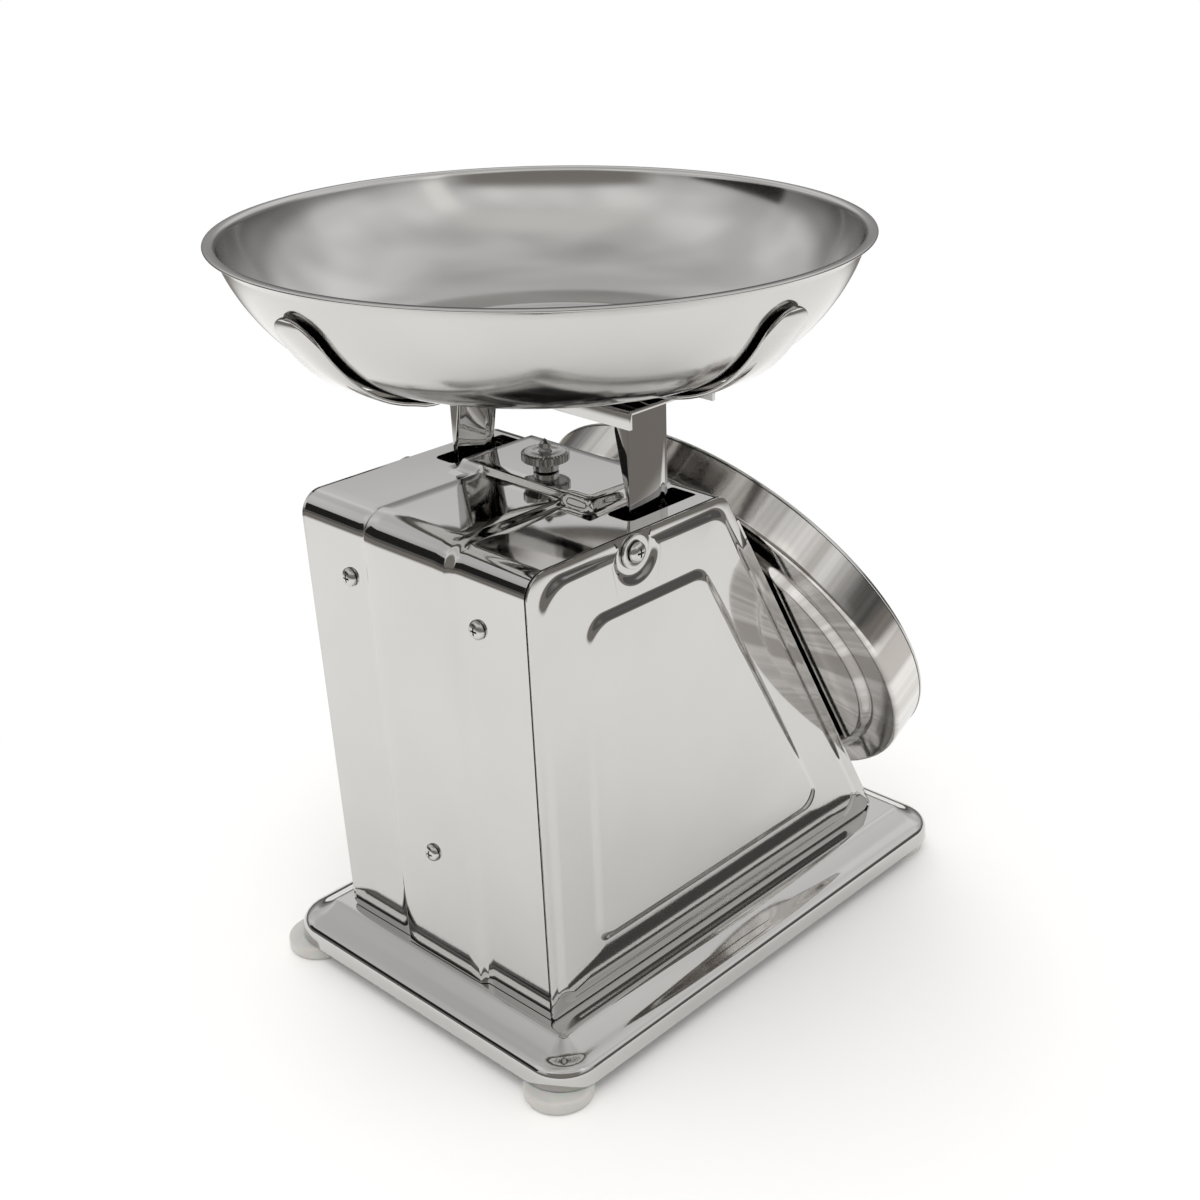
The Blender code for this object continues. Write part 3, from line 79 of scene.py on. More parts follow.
# Facets round a turned piece, and steps round a bend or along a slope
ROUND = 160
SMALL_ROUND = 40
BEND_STEPS = 16
SLOPE_STEPS = 7

# Points closer than this are one point
WELD = 1e-6


def length(name, description, default):
    """A size in metres."""
    return FloatProperty(name=name, description=description, default=default, unit="LENGTH")


def colour(name, description, default):
    """A colour as an sRGB hex value."""
    return StringProperty(name=name, description=description, default=default)


def setting(name, description, default):
    """A plain number of the studio."""
    return FloatProperty(name=name, description=description, default=default)


class ScaleSizes(bpy.types.PropertyGroup):
    """Sizes of the pressed, turned and bent pieces, in metres."""

    sheet: length("Sheet", "Thickness of the housing's sheet", 0.0012)
    rear_bend: length("Rear bend", "Radius of the top rear edge", 0.009)
    front_bend: length("Front bend", "Radius of the top front edge", 0.008)
    front_lip: length("Front lip", "Lip down the front slope", 0.010)
    band_half: length("Band", "Half the width of the raised band", 0.021)
    band_slope: length("Band slope", "Width of the band's edge", 0.0035)
    band_height: length("Band height", "How far the band stands out", 0.0022)
    plateau_half: length("Plateau", "Half the plateau's width", 0.033)
    plateau_slope: length("Plateau slope", "Width of the plateau's edge", 0.004)
    plateau_height: length("Plateau height", "Height of the plateau", 0.0042)
    plateau_start: length("Plateau start", "Depth of its rear foot", 0.053)
    plateau_end: length("Plateau end", "Depth of its front foot", 0.096)
    field_inset: length("Panel lip", "Width of a side panel's lip", 0.003)
    field_height: length("Field height", "Step up to the panel's field", 0.0014)
    emboss_inset: length("Emboss inset", "Margin round the emboss", 0.0227)
    emboss_height: length("Emboss height", "Height of the emboss", 0.0014)
    press_slope: length("Press slope", "Width of a pressed step", 0.0042)
    bowl_sheet: length("Bowl sheet", "Thickness of the bowl", 0.0009)
    rim_bead: length("Rim bead", "Radius of the bowl's rolled rim", 0.0011)
    knurls: IntProperty(name="Knurls", description="Ridges round the zero nut", default=36, min=8)


class ScaleColours(bpy.types.PropertyGroup):
    """Surface colours as sRGB hex values."""

    steel: colour("Steel", "Polished stainless steel", "#CDCCCB")
    steel_dark: colour("Steel, dark", "Its darker drift", "#C2C1BF")
    zinc: colour("Zinc", "Zinc plate on hidden parts", "#A9A9AB")
    brass: colour("Brass", "Turned brass", "#C9A15A")
    rubber: colour("Rubber", "Clear rubber feet", "#E4E3DE")
    enamel: colour("Enamel", "Stoved dial enamel", "#F0EEE8")
    ink: colour("Ink", "Printed scale marks", "#1B1B1D")
    pointer: colour("Pointer", "Pointer lacquer", "#B5261C")
    floor: colour("Floor", "Paper floor", "#F4F3F1")


class StudioSettings(bpy.types.PropertyGroup):
    """Camera and light."""

    azimuth: setting("Azimuth", "Camera azimuth in degrees", 221.45)
    elevation: setting("Elevation", "Camera elevation", 30.31)
    roll: setting("Roll", "Camera roll in degrees", -0.38)
    lens: setting("Lens", "Focal length in mm", 47.69)
    shift_x: setting("Shift X", "Sideways lens shift", -0.077)
    shift_y: setting("Shift Y", "Upward lens shift", 0.1366)
    key_power: setting("Key", "Power of the key light in W", 6.0)
    fill: setting("Fill", "Strength of the room's light", 1.04)


# Shader nodes


def linear(hex_colour):
    """An sRGB hex value as linear RGBA."""
    channels = [int(hex_colour[i : i + 2], 16) / 255 for i in (1, 3, 5)]
    made = [c / 12.92 if c <= 0.04045 else ((c + 0.055) / 1.055) ** 2.4 for c in channels]
    return (*made, 1.0)


def add(tree, kind, settings=None, inputs=None, links=None):
    """Adds a node with its settings, its input values and its incoming links."""
    made = tree.nodes.new(kind)
    for name, value in (settings or {}).items():
        setattr(made, name, value)
    for name, value in (inputs or {}).items():
        made.inputs[name].default_value = value
    for name, source in (links or {}).items():
        tree.links.new(source, made.inputs[name])
    return made


def new_material(name):
    """A material with its Principled shader, and the coordinates that its patterns lie in."""
    made = bpy.data.materials.new(name)
    made.use_nodes = True
    tree = made.node_tree
    return made, tree, tree.nodes["Principled BSDF"], add(tree, "ShaderNodeTexCoord").outputs["Object"]


def per_metre(millimetres):
    """The texture scale at which one feature is this wide."""
    return 1000.0 / millimetres


def noise(tree, place, millimetres, detail):
    """Noise whose features are this wide."""
    inputs = {"Scale": per_metre(millimetres), "Detail": detail}
    return add(tree, "ShaderNodeTexNoise", None, inputs, {"Vector": place}).outputs["Fac"]


def tinted(tree, shader, factor, first, second):
    """Drives the base colour between two tones."""
    inputs = {"A": linear(first), "B": linear(second)}
    tone = add(tree, "ShaderNodeMix", {"data_type": "RGBA"}, inputs, {"Factor": factor})
    tree.links.new(tone.outputs["Result"], shader.inputs["Base Color"])


def bumped(tree, height, strength, distance, below=None):
    """The normal of a height pattern, laid over another normal if there is one."""
    links = {"Height": height} if below is None else {"Height": height, "Normal": below}
    inputs = {"Strength": strength, "Distance": distance}
    return add(tree, "ShaderNodeBump", None, inputs, links).outputs["Normal"]


def ranged(tree, value, from_ends, to_ends, smooth=False):
    """A value carried from one range to another."""
    settings = {"interpolation_type": "SMOOTHSTEP"} if smooth else None
    inputs = dict(zip(("From Min", "From Max", "To Min", "To Max"), (*from_ends, *to_ends)))
    return add(tree, "ShaderNodeMapRange", settings, inputs, {"Value": value}).outputs["Result"]


def maths(tree, operation, *values, clamp=False):
    """The result of a Math node on outputs and numbers."""
    made = add(tree, "ShaderNodeMath", {"operation": operation, "use_clamp": clamp})
    for value, socket in zip(values, made.inputs):
        if isinstance(value, float):
            socket.default_value = value
        else:
            tree.links.new(value, socket)
    return made.outputs[0]


def mixed(tree, factor, first, second):
    """Two shaders mixed by a factor."""
    made = add(tree, "ShaderNodeMixShader")
    for source, socket in zip((factor, first, second), made.inputs):
        tree.links.new(source, socket)
    return made.outputs[0]


def constants(shader, **values):
    """Sets plain values on a shader's sockets."""
    for name, value in values.items():
        shader.inputs[name.replace("_", " ")].default_value = value


def metal(name, light, dark, rough, rough_range, wave_mm, wave_depth, grain_mm, grain_depth, stretch):
    """A bare metal: a slow drift of tone, uneven polish, slight waves and fine polishing lines."""
    made, tree, shader, place = new_material(name)
    tinted(tree, shader, noise(tree, place, 60, 2.0), light, dark)
    polish = noise(tree, place, 25, 5.0)
    uneven = ranged(tree, polish, (0.0, 1.0), (rough - rough_range, rough + rough_range))
    tree.links.new(uneven, shader.inputs["Roughness"])
    constants(shader, Metallic=1.0)
    waves = bumped(tree, noise(tree, place, wave_mm, 1.0), 1.0, wave_depth)
    laid = add(tree, "ShaderNodeMapping", inputs={"Scale": stretch}, links={"Vector": place})
    grain = noise(tree, laid.outputs["Vector"], grain_mm, 3.0)
    tree.links.new(bumped(tree, grain, 0.5, grain_depth, waves), shader.inputs["Normal"])
    return made


def make_materials():
    """Every finish of the scale, by its short name."""
    colours = bpy.context.scene.scale_colours
    steel = (colours.steel, colours.steel_dark)
    finishes = {}
    # Stainless sheet, pressed and then buffed on a wheel: sharp reflections that the sheet's waves bend.
    finishes["sheet"] = metal(
        "buffed_stainless_sheet", *steel, 0.055, 0.02,
        wave_mm=70, wave_depth=0.00022, grain_mm=1.6, grain_depth=0.000004, stretch=(1.0, 1.0, 0.12)
    )
    # Stainless sheet, spun and buffed on a lathe: the bowl and drum, with fainter waves.
    finishes["spun"] = metal(
        "spun_stainless", *steel, 0.13, 0.03,
        wave_mm=55, wave_depth=0.00010, grain_mm=1.4, grain_depth=0.000004, stretch=(1.0, 1.0, 0.3)
    )
    # The drum's spun band: the same steel, with painted reflections in its colour, light and dark streaks
    # across it.
    finishes["band"] = painted_reflection_streaks(finishes["spun"])
    # Stainless bar and screws, turned: duller, with finer lines.
    finishes["turned"] = metal(
        "turned_stainless", *steel, 0.20, 0.05,
        wave_mm=6, wave_depth=0.00002, grain_mm=0.4, grain_depth=0.00001, stretch=(1.0, 1.0, 4.0)
    )
    # Mild steel with a thin zinc plate: grey, slightly cloudy, only seen through the slots.
    finishes["zinc"] = metal(
        "zinc_plated_steel", colours.zinc, "#8E8F92", 0.34, 0.08,
        wave_mm=14, wave_depth=0.00004, grain_mm=0.6, grain_depth=0.00002, stretch=(1.0, 1.0, 1.0)
    )
    # Free-cutting brass, turned and milled: warm, with tool lines.
    finishes["brass"] = metal(
        "turned_brass", colours.brass, "#A98243", 0.22, 0.05,
        wave_mm=5, wave_depth=0.00002, grain_mm=0.35, grain_depth=0.00001, stretch=(1.0, 1.0, 5.0)
    )
    # Clear rubber that light passes into, so that the feet look milky and soft.
    finishes["rubber"] = clear_rubber(colours.rubber)
    # The dial's smooth coats: warm white, near black and a lacquer red, each with a faint sheen.
    finishes["enamel"] = painted("stoved_enamel", colours.enamel, "#E6E3DA", 0.32, 0.4)
    finishes["ink"] = painted("screen_ink", colours.ink, "#2A2A2C", 0.5, 0.6)
    finishes["pointer"] = painted("pointer_lacquer", colours.pointer, "#9C1E16", 0.28, 0.4)
    # A clear pane, which only shows by its glints.
    finishes["glass"] = float_glass()
    return finishes


def painted_reflection_streaks(source):
    """A copy of a metal with painted reflections: its tone changes in light and dark streaks round the
    dial's axis.
    """
    made = source.copy()
    made.name = "spun_stainless_streaked"
    tree = made.node_tree
    shader = tree.nodes["Principled BSDF"]
    place = add(tree, "ShaderNodeTexCoord").outputs["Object"]
    inverse = DIAL.inverted()
    laid = add(
        tree,
        "ShaderNodeMapping",
        inputs={"Location": inverse.to_translation(), "Rotation": inverse.to_euler()},
        links={"Vector": place},
    )
    round_axis = add(
        tree, "ShaderNodeTexGradient", {"gradient_type": "RADIAL"}, links={"Vector": laid.outputs["Vector"]}
    )
    streaks = add(
        tree,
        "ShaderNodeTexNoise",
        {"noise_dimensions": "1D"},
        inputs={"Scale": 34.0, "Detail": 3.0, "Roughness": 0.65},
        links={"W": round_axis.outputs["Fac"]},
    )
    # Painted reflection: the streaks' dark and light tones go into the base colour.
    tones = add(tree, "ShaderNodeValToRGB", links={"Fac": streaks.outputs["Fac"]})
    for end, position, tone in zip(tones.color_ramp.elements, (0.38, 0.62), ("#B4B0AC", "#DEDCDA")):
        end.position = position
        end.color = linear(tone)
    tree.links.new(tones.outputs["Color"], shader.inputs["Base Color"])
    return made


def clear_rubber(tone):
    """Moulded clear PVC: milky, with light passing through it and a faint mould texture."""
    made, tree, shader, place = new_material("clear_pvc_rubber")
    tinted(tree, shader, noise(tree, place, 5, 3.0), tone, "#D6D5CF")
    tree.links.new(bumped(tree, noise(tree, place, 0.8, 2.0), 0.4, 0.00003), shader.inputs["Normal"])
    constants(shader, Roughness=0.28, IOR=1.53, Transmission_Weight=0.35)
    constants(shader, Subsurface_Weight=0.3, Subsurface_Scale=0.004)
    return made


def painted(name, tone, drift, rough, gloss_mm):
    """A sprayed or printed coat: even colour with a slight drift and a fine orange-peel surface."""
    made, tree, shader, place = new_material(name)
    tinted(tree, shader, noise(tree, place, 40, 4.0), tone, drift)
    tree.links.new(bumped(tree, noise(tree, place, gloss_mm, 2.0), 0.3, 0.00001), shader.inputs["Normal"])
    constants(shader, Roughness=rough)
    return made


def float_glass():
    """A flat pane of float glass: clear, smooth, with the faintest waviness."""
    made, tree, shader, place = new_material("float_glass")
    tree.links.new(bumped(tree, noise(tree, place, 45, 0.0), 0.2, 0.00002), shader.inputs["Normal"])
    constants(shader, Base_Color=linear("#F7FAF9"), Roughness=0.01, IOR=1.52, Transmission_Weight=1.0)
    return made


FINISHES = {}


def finish(name):
    """The named material, made once."""
    if not FINISHES:
        FINISHES.update(make_materials())
    return FINISHES[name]


# Making pieces


def placed(name, data):
    """A new object in the scene."""
    made = bpy.data.objects.new(name, data)
    bpy.context.scene.collection.objects.link(made)
    return made


def weld(mesh, turn=None, sharp=35):
    """Joins doubled points, faces all sides outward and smooths what is round."""
    work = bmesh.new()
    work.from_mesh(mesh)
    if turn is not None:
        bmesh.ops.transform(work, matrix=turn, verts=work.verts)
    bmesh.ops.remove_doubles(work, verts=work.verts, dist=WELD)
    bmesh.ops.recalc_face_normals(work, faces=work.faces)
    work.to_mesh(mesh)
    work.free()
    mesh.shade_smooth()
    mesh.set_sharp_from_angle(angle=math.radians(sharp))


def piece(name, points, faces, material, body, stands_for=(), slot=None, turn=None, sharp=35):
    """A finished piece: welded, outward, smooth where it is round, riding on its body."""
    mesh = bpy.data.meshes.new(name)
    mesh.from_pydata([tuple(p) for p in points], [], faces)
    weld(mesh, turn, sharp)
    made = placed(name, mesh)
    if material is not None:
        mesh.materials.append(finish(material))
    if body is not None:
        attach(made, body)
    if stands_for:
        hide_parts(*stands_for)
    return made


def applied(target):
    """Turns a piece's modifiers into its mesh."""
    graph = bpy.context.evaluated_depsgraph_get()
    made = bpy.data.meshes.new_from_object(target.evaluated_get(graph))
    target.modifiers.clear()
    target.data = made
    return made


def cut(target, cutters, operation="DIFFERENCE"):
    """Applies Booleans, so that no cutter is left in the scene."""
    for cutter in cutters:
        change = target.modifiers.new(cutter.name, "BOOLEAN")
        change.operation = operation
        change.solver = "EXACT"
        change.object = cutter
    made = applied(target)
    for cutter in cutters:
        bpy.data.objects.remove(cutter, do_unlink=True)
    weld(made)


def drill(name, radius, reach, turn):
    """A cutter for a round hole, reaching both ways along its axis."""
    profile = [(0, -reach), (radius, -reach), (radius, reach), (0, reach)]
    return piece(name, *turned(profile, SMALL_ROUND), None, None, turn=turn)


def soften(target, width):
    """Rounds the sharp edges of a bent or milled piece."""
    change = target.modifiers.new("rounded edges", "BEVEL")
    change.width = width
    change.segments = 3
    change.limit_method = "ANGLE"
    change.angle_limit = math.radians(35)
    change.harden_normals = False
    made = applied(target)
    made.shade_smooth()
    made.set_sharp_from_angle(angle=math.radians(50))


def lofted(loops, capped=True):
    """Points and faces of a skin through loops of equal length. Uncapped, the last loop meets the first."""
    count = len(loops[0])
    points = [p for loop in loops for p in loop]
    faces = []
    rows = len(loops) - 1 if capped else len(loops)
    for row in range(rows):
        a = row * count
        b = (row + 1) % len(loops) * count
        for i in range(count):
            j = (i + 1) % count
            faces.append((a + i, a + j, b + j, b + i))
    if capped:
        faces.append(tuple(range(count)))
        faces.append(tuple(range(len(points) - count, len(points))))
    return points, faces


def turned(profile, segments=ROUND):
    """A profile of radius and height turned about Z. It closes through the axis or round a bore."""
    on_axis = profile[0][0] == 0 and profile[-1][0] == 0
    body = profile[1:-1] if on_axis else profile
    loops = []
    for radius, height in body:
        angles = [2 * math.pi * i / segments for i in range(segments)]
        loops.append([(radius * math.cos(a), radius * math.sin(a), height) for a in angles])
    points, faces = lofted(loops, capped=on_axis)
    if on_axis:
        faces = faces[:-2]
        for row, (_, height) in ((0, profile[0]), (len(body) - 1, profile[-1])):
            tip = len(points)
            points.append((0.0, 0.0, height))
            for i in range(segments):
                faces.append((row * segments + i, row * segments + (i + 1) % segments, tip))
    return points, faces


def arc(centre, radius, start, end, steps):
    """Points on an arc, with its angles in degrees."""
    angles = [math.radians(start + (end - start) * i / steps) for i in range(steps + 1)]
    return [(centre[0] + radius * math.cos(a), centre[1] + radius * math.sin(a)) for a in angles]


def fillet(before, corner, after, radius, steps):
    """The arc that rounds one corner of an outline."""
    corner = Vector(corner)
    back = (Vector(before) - corner).normalized()
    ahead = (Vector(after) - corner).normalized()
    half = back.angle(ahead) / 2
    start = corner + back * radius / math.tan(half)
    centre = corner + (back + ahead).normalized() * radius / math.sin(half)
    spoke = start - centre
    turn = spoke.angle_signed(corner + ahead * radius / math.tan(half) - centre)
    return [tuple(centre + Matrix.Rotation(-turn * i / steps, 2) @ spoke) for i in range(steps + 1)]


def inset_corners(corners, distance):
    """The corners of a convex outline, moved inward."""
    centre = sum((Vector(c) for c in corners), Vector((0, 0))) / len(corners)
    moved = []
    for i, corner in enumerate(corners):
        sides = []
        for a, b in ((corners[i - 1], corner), (corner, corners[(i + 1) % len(corners)])):
            way = (Vector(b) - Vector(a)).normalized()
            normal = Vector((-way.y, way.x))
            if normal.dot(centre - Vector(a)) < 0:
                normal = -normal
            sides.append((Vector(a) + normal * distance, way))
        (p, u), (q, v) = sides
        step = ((q - p).x * v.y - (q - p).y * v.x) / (u.x * v.y - u.y * v.x)
        moved.append(tuple(p + u * step))
    return moved


def rounded(corners, radii, steps):
    """A closed outline with every corner rounded."""
    points = []
    for i, corner in enumerate(corners):
        points += fillet(corners[i - 1], corner, corners[(i + 1) % len(corners)], radii[i], steps)
    return points


def prism(outline, low, high):
    """An outline extruded along Z."""
    return lofted([[(x, y, low) for x, y in outline], [(x, y, high) for x, y in outline]])


def ease(t):
    """A smooth step from 0 to 1."""
    t = min(1.0, max(0.0, t))
    return t * t * (3 - 2 * t)


def smoothed(points, steps):
    """More points on a smooth curve through the given ones."""
    made = []
    for i in range(len(points) - 1):
        a = Vector(points[max(i - 1, 0)])
        b = Vector(points[i])
        c = Vector(points[i + 1])
        d = Vector(points[min(i + 2, len(points) - 1)])
        for k in range(steps):
            t = k / steps
            part = 2 * b + (c - a) * t + (2 * a - 5 * b + 4 * c - d) * t * t
            made.append(tuple((part + (3 * b - a - 3 * c + d) * t**3) / 2))
    made.append(tuple(points[-1]))
    return made


def spread(start, end, steps):
    """Evenly spaced values, both ends included."""
    return [start + (end - start) * i / steps for i in range(steps + 1)]


def offset_profile(points, distance):
    """A profile moved to its outer side."""
    moved = []
    for i, point in enumerate(points):
        way = Vector(points[min(i + 1, len(points) - 1)]) - Vector(points[max(i - 1, 0)])
        way.normalize()
        moved.append((point[0] + way.y * distance, point[1] - way.x * distance))
    return moved


def repaint(material, *names):
    """Gives CAD nodes that stay a finished material."""
    for name in names:
        node = frame["nodes"][name]
        node.data.materials.clear()
        node.data.materials.append(finish(material))


# Base

BASE_CORNER = 0.018
SKIRT = 0.0075


def base_loop(inset, height):
    """The base's outline, moved inward and to a height."""
    (left, front), (right, rear) = PAN_LOW.xy, PAN_HIGH.xy
    corners = [(left, front), (right, front), (right, rear), (left, rear)]
    radius = max(BASE_CORNER - inset, 0.003)
    outline = rounded(inset_corners(corners, inset), [radius] * 4, BEND_STEPS)
    return [(x, y, height) for x, y in outline]


class KITCHENSCALE_OT_base(bpy.types.Operator):
    """Presses the base pan, and sets it on its rubber feet."""

    bl_idname = "kitchenscale.base"
    bl_label = "Base and feet"

    def execute(self, context):
        sheet = context.scene.scale_sizes.sheet
        top, low = PAN_HIGH.z, PAN_LOW.z
        skirt = low + SKIRT
        steps = [
            (0.0175, top),
            (0.0162, top - 0.00005),
            (0.0145, top - 0.0006),
            (0.0120, top - 0.0020),
            (0.0080, top - 0.0040),
            (0.0050, top - 0.0050),
            (0.0028, skirt + 0.0009),
            (0.0014, skirt - 0.0004),
            (0.0006, skirt - 0.0022),
            (0.0003, skirt - 0.0045),
            (0.0, low + 0.0002),
        ]
        path = smoothed(steps, 3)
        outer = [base_loop(inset, height) for inset, height in path]
        inner = [base_loop(inset + sheet, max(height - sheet, low + 0.0002)) for inset, height in path]
        hem = [base_loop(sheet * 0.25, low), base_loop(sheet * 0.75, low)]
        skin = lofted(outer + hem + inner[::-1])
        piece("base_pan_pressed", *skin, "sheet", "housing", ["base_pan"], "polished_steel")
        for name in ("foot_rear_left", "foot_rear_right", "foot_front_left", "foot_front_right"):
            foot_low, foot_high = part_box(name)
            centre = (foot_low + foot_high) / 2
            radius, height = (foot_high.x - foot_low.x) / 2, foot_high.z
            profile = [(0, 0), (radius * 0.42, 0), (radius * 0.46, 0.0007), (radius * 0.6, 0.0007)]
            profile += [(radius * 0.64, 0.0), (radius - 0.0016, 0.0)]
            profile += arc((radius - 0.0016, 0.0016), 0.0016, -60, 0, 5)
            profile += arc((radius - 0.0013, height - 0.0013), 0.0013, 0, 90, 5)
            profile.append((0, height))
            turn = Matrix.Translation((centre.x, centre.y, 0))
            skin = turned(profile, SMALL_ROUND * 2)
            piece(name + "_moulded", *skin, "rubber", "housing", [name], "clear_rubber", turn)
        repaint("zinc", "base_plate")
        return {"FINISHED"}


# Housing

SIDE = [(0.0, FOOT), (0.0, TOP), (-TOP_DEPTH, TOP), (-FOOT_DEPTH, FOOT)]
SCREW_BORE = 0.002
NUT_BORE = 0.0028
SCREW_HEAD = 0.0022
SCREW_SHANK = 0.0017
SCREW_LENGTH = 0.006


def screw_point():
    """Depth and height of the side screw."""
    low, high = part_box("side_screw_left")
    return (low.y + high.y) / 2 - REAR, (low.z + high.z) / 2


def contour(inset, radii, notch):
    """One contour of a side panel, whose top edge dips round the side screw."""
    corners = inset_corners(SIDE, inset)
    top = corners[1][1]
    middle = screw_point()
    points = []
    for i, corner in enumerate(corners):
        points += fillet(corners[i - 1], corner, corners[(i + 1) % 4], radii[i], BEND_STEPS)
        if i == 1:
            if notch:
                start = math.degrees(math.asin((top - middle[1]) / notch))
                points += arc(middle, notch, start, -180 - start, 30)
            else:
                points += [(middle[0] + 0.010 - 0.020 * k / 30, top) for k in range(31)]
    return points


def side_panel_loops(side, sizes):
    """Contours from the rim inward: the lip, the step up to the field, and the embossed panel."""
    emboss_x = PANEL_HIGH.x
    field_x = emboss_x - sizes.emboss_height
    lip_x = field_x - sizes.field_height
    washer_low, washer_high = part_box("side_washer_left")
    notch = (washer_high.z - washer_low.z) / 2 + 0.0020
    lip = [0.0015, sizes.rear_bend, sizes.front_bend, 0.003]
    soft = [0.0084, 0.012, 0.0102, 0.0084]
    emboss = [0.007, 0.010, 0.010, 0.007]
    edge = 0.0003
    rings = [
        (contour(0.0, lip, 0), lip_x - edge),
        (contour(edge * 0.3, lip, 0), lip_x - edge * 0.3),
        (contour(edge, lip, 0), lip_x),
    ]

    def step(inset, radii, dip, low, high):
        near = contour(inset, radii, dip)
        far = contour(inset + sizes.press_slope, radii, dip + sizes.press_slope if dip else 0)
        for k in range(SLOPE_STEPS + 1):
            t = k / SLOPE_STEPS
            blended = [
                (a[0] + (b[0] - a[0]) * t, a[1] + (b[1] - a[1]) * t) for a, b in zip(near, far)
            ]
            rings.append((blended, low + (high - low) * ease(t)))

    step(sizes.field_inset, soft, notch, lip_x, field_x)
    step(sizes.emboss_inset, emboss, 0, field_x, emboss_x)
    return [[(side * x, REAR + y, z) for y, z in ring] for ring, x in rings]


class KITCHENSCALE_OT_side_panels(bpy.types.Operator):
    """Presses the two side panels, with a field and an embossed panel in each."""

    bl_idname = "kitchenscale.side_panels"
    bl_label = "Side panels"

    def execute(self, context):
        sizes = context.scene.scale_sizes
        for side, word in ((1, "left"), (-1, "right")):
            front = side_panel_loops(side, sizes)
            back = [[(x - side * sizes.sheet, y, z) for x, y, z in loop] for loop in front[2:]]
            skin = lofted(front[::-1] + back)
            name = "side_panel_" + word
            panel = piece(name + "_pressed", *skin, "sheet", "housing", [name], "polished_steel")
            depth, height = screw_point()
            turn = Matrix.Translation((0, REAR + depth, height)) @ Matrix.Rotation(math.pi / 2, 4, "Y")
            cut(panel, [drill("bore", SCREW_BORE, 0.1, turn)])
        return {"FINISHED"}


def cover_path(sizes):
    """Depth, height and outward normal along the rear and top cover."""
    bend_z = TOP - sizes.rear_bend
    low = COVER_LOW.z
    path = [(0.0, z, (-1.0, 0.0)) for z in spread(low, bend_z, 24)[:-1]]
    for angle in spread(180, 90, BEND_STEPS + 4):
        normal = (math.cos(math.radians(angle)), math.sin(math.radians(angle)))
        depth = sizes.rear_bend * (1 + normal[0])
        path.append((depth, bend_z + sizes.rear_bend * normal[1], normal))
    up = (0.0, 1.0)
    start, end, slope = sizes.plateau_start, sizes.plateau_end, sizes.plateau_slope
    depths = spread(sizes.rear_bend, start, 12)[1:-1] + spread(start, start + slope, SLOPE_STEPS)
    depths += spread(start + slope, end - slope, 10)[1:-1] + spread(end - slope, end, SLOPE_STEPS)
    path += [(depth, TOP, up) for depth in depths]
    turn = 90 - math.degrees(SLOPE)
    bend_depth = TOP_DEPTH - sizes.front_bend * math.tan(math.radians(turn / 2))
    for angle in spread(90, 90 - turn, BEND_STEPS):
        normal = (math.cos(math.radians(angle)), math.sin(math.radians(angle)))
        depth = bend_depth + sizes.front_bend * normal[0]
        path.append((depth, TOP - sizes.front_bend * (1 - normal[1]), normal))
    depth, z, normal = path[-1]
    for share in (0.5, 1.0):
        reach = sizes.front_lip * share
        path.append((depth + reach * math.sin(SLOPE), z - reach * math.cos(SLOPE), normal))
    return path


def cover_lift(x, depth, sizes):
    """How far the cover is pressed out: a band up the rear, and a plateau on the top."""
    band = sizes.band_height * (1 - ease((abs(x) - sizes.band_half) / sizes.band_slope))
    plateau = sizes.plateau_height * (1 - ease((abs(x) - sizes.plateau_half) / sizes.plateau_slope))
    rise = ease((depth - sizes.plateau_start) / sizes.plateau_slope)
    fall = ease((depth - sizes.plateau_end + sizes.plateau_slope) / sizes.plateau_slope)
    return band * (1 - rise) + plateau * (rise - fall)


def slot_outline(name):
    """The outline of the slot that a post runs in, with rounder corners at its rear."""
    low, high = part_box(name)
    middle = (low.x + high.x) / 2
    post = high.x if middle > 0 else low.x
    centre = math.copysign(abs(post) - 0.00075, middle)
    left, right = centre - 0.006, centre + 0.006
    front = low.y - 0.0100
    rear = front + 0.036
    corners = [(left, front), (right, front), (right, rear), (left, rear)]
    return rounded(corners, [0.0012, 0.0012, 0.003, 0.003], 8)


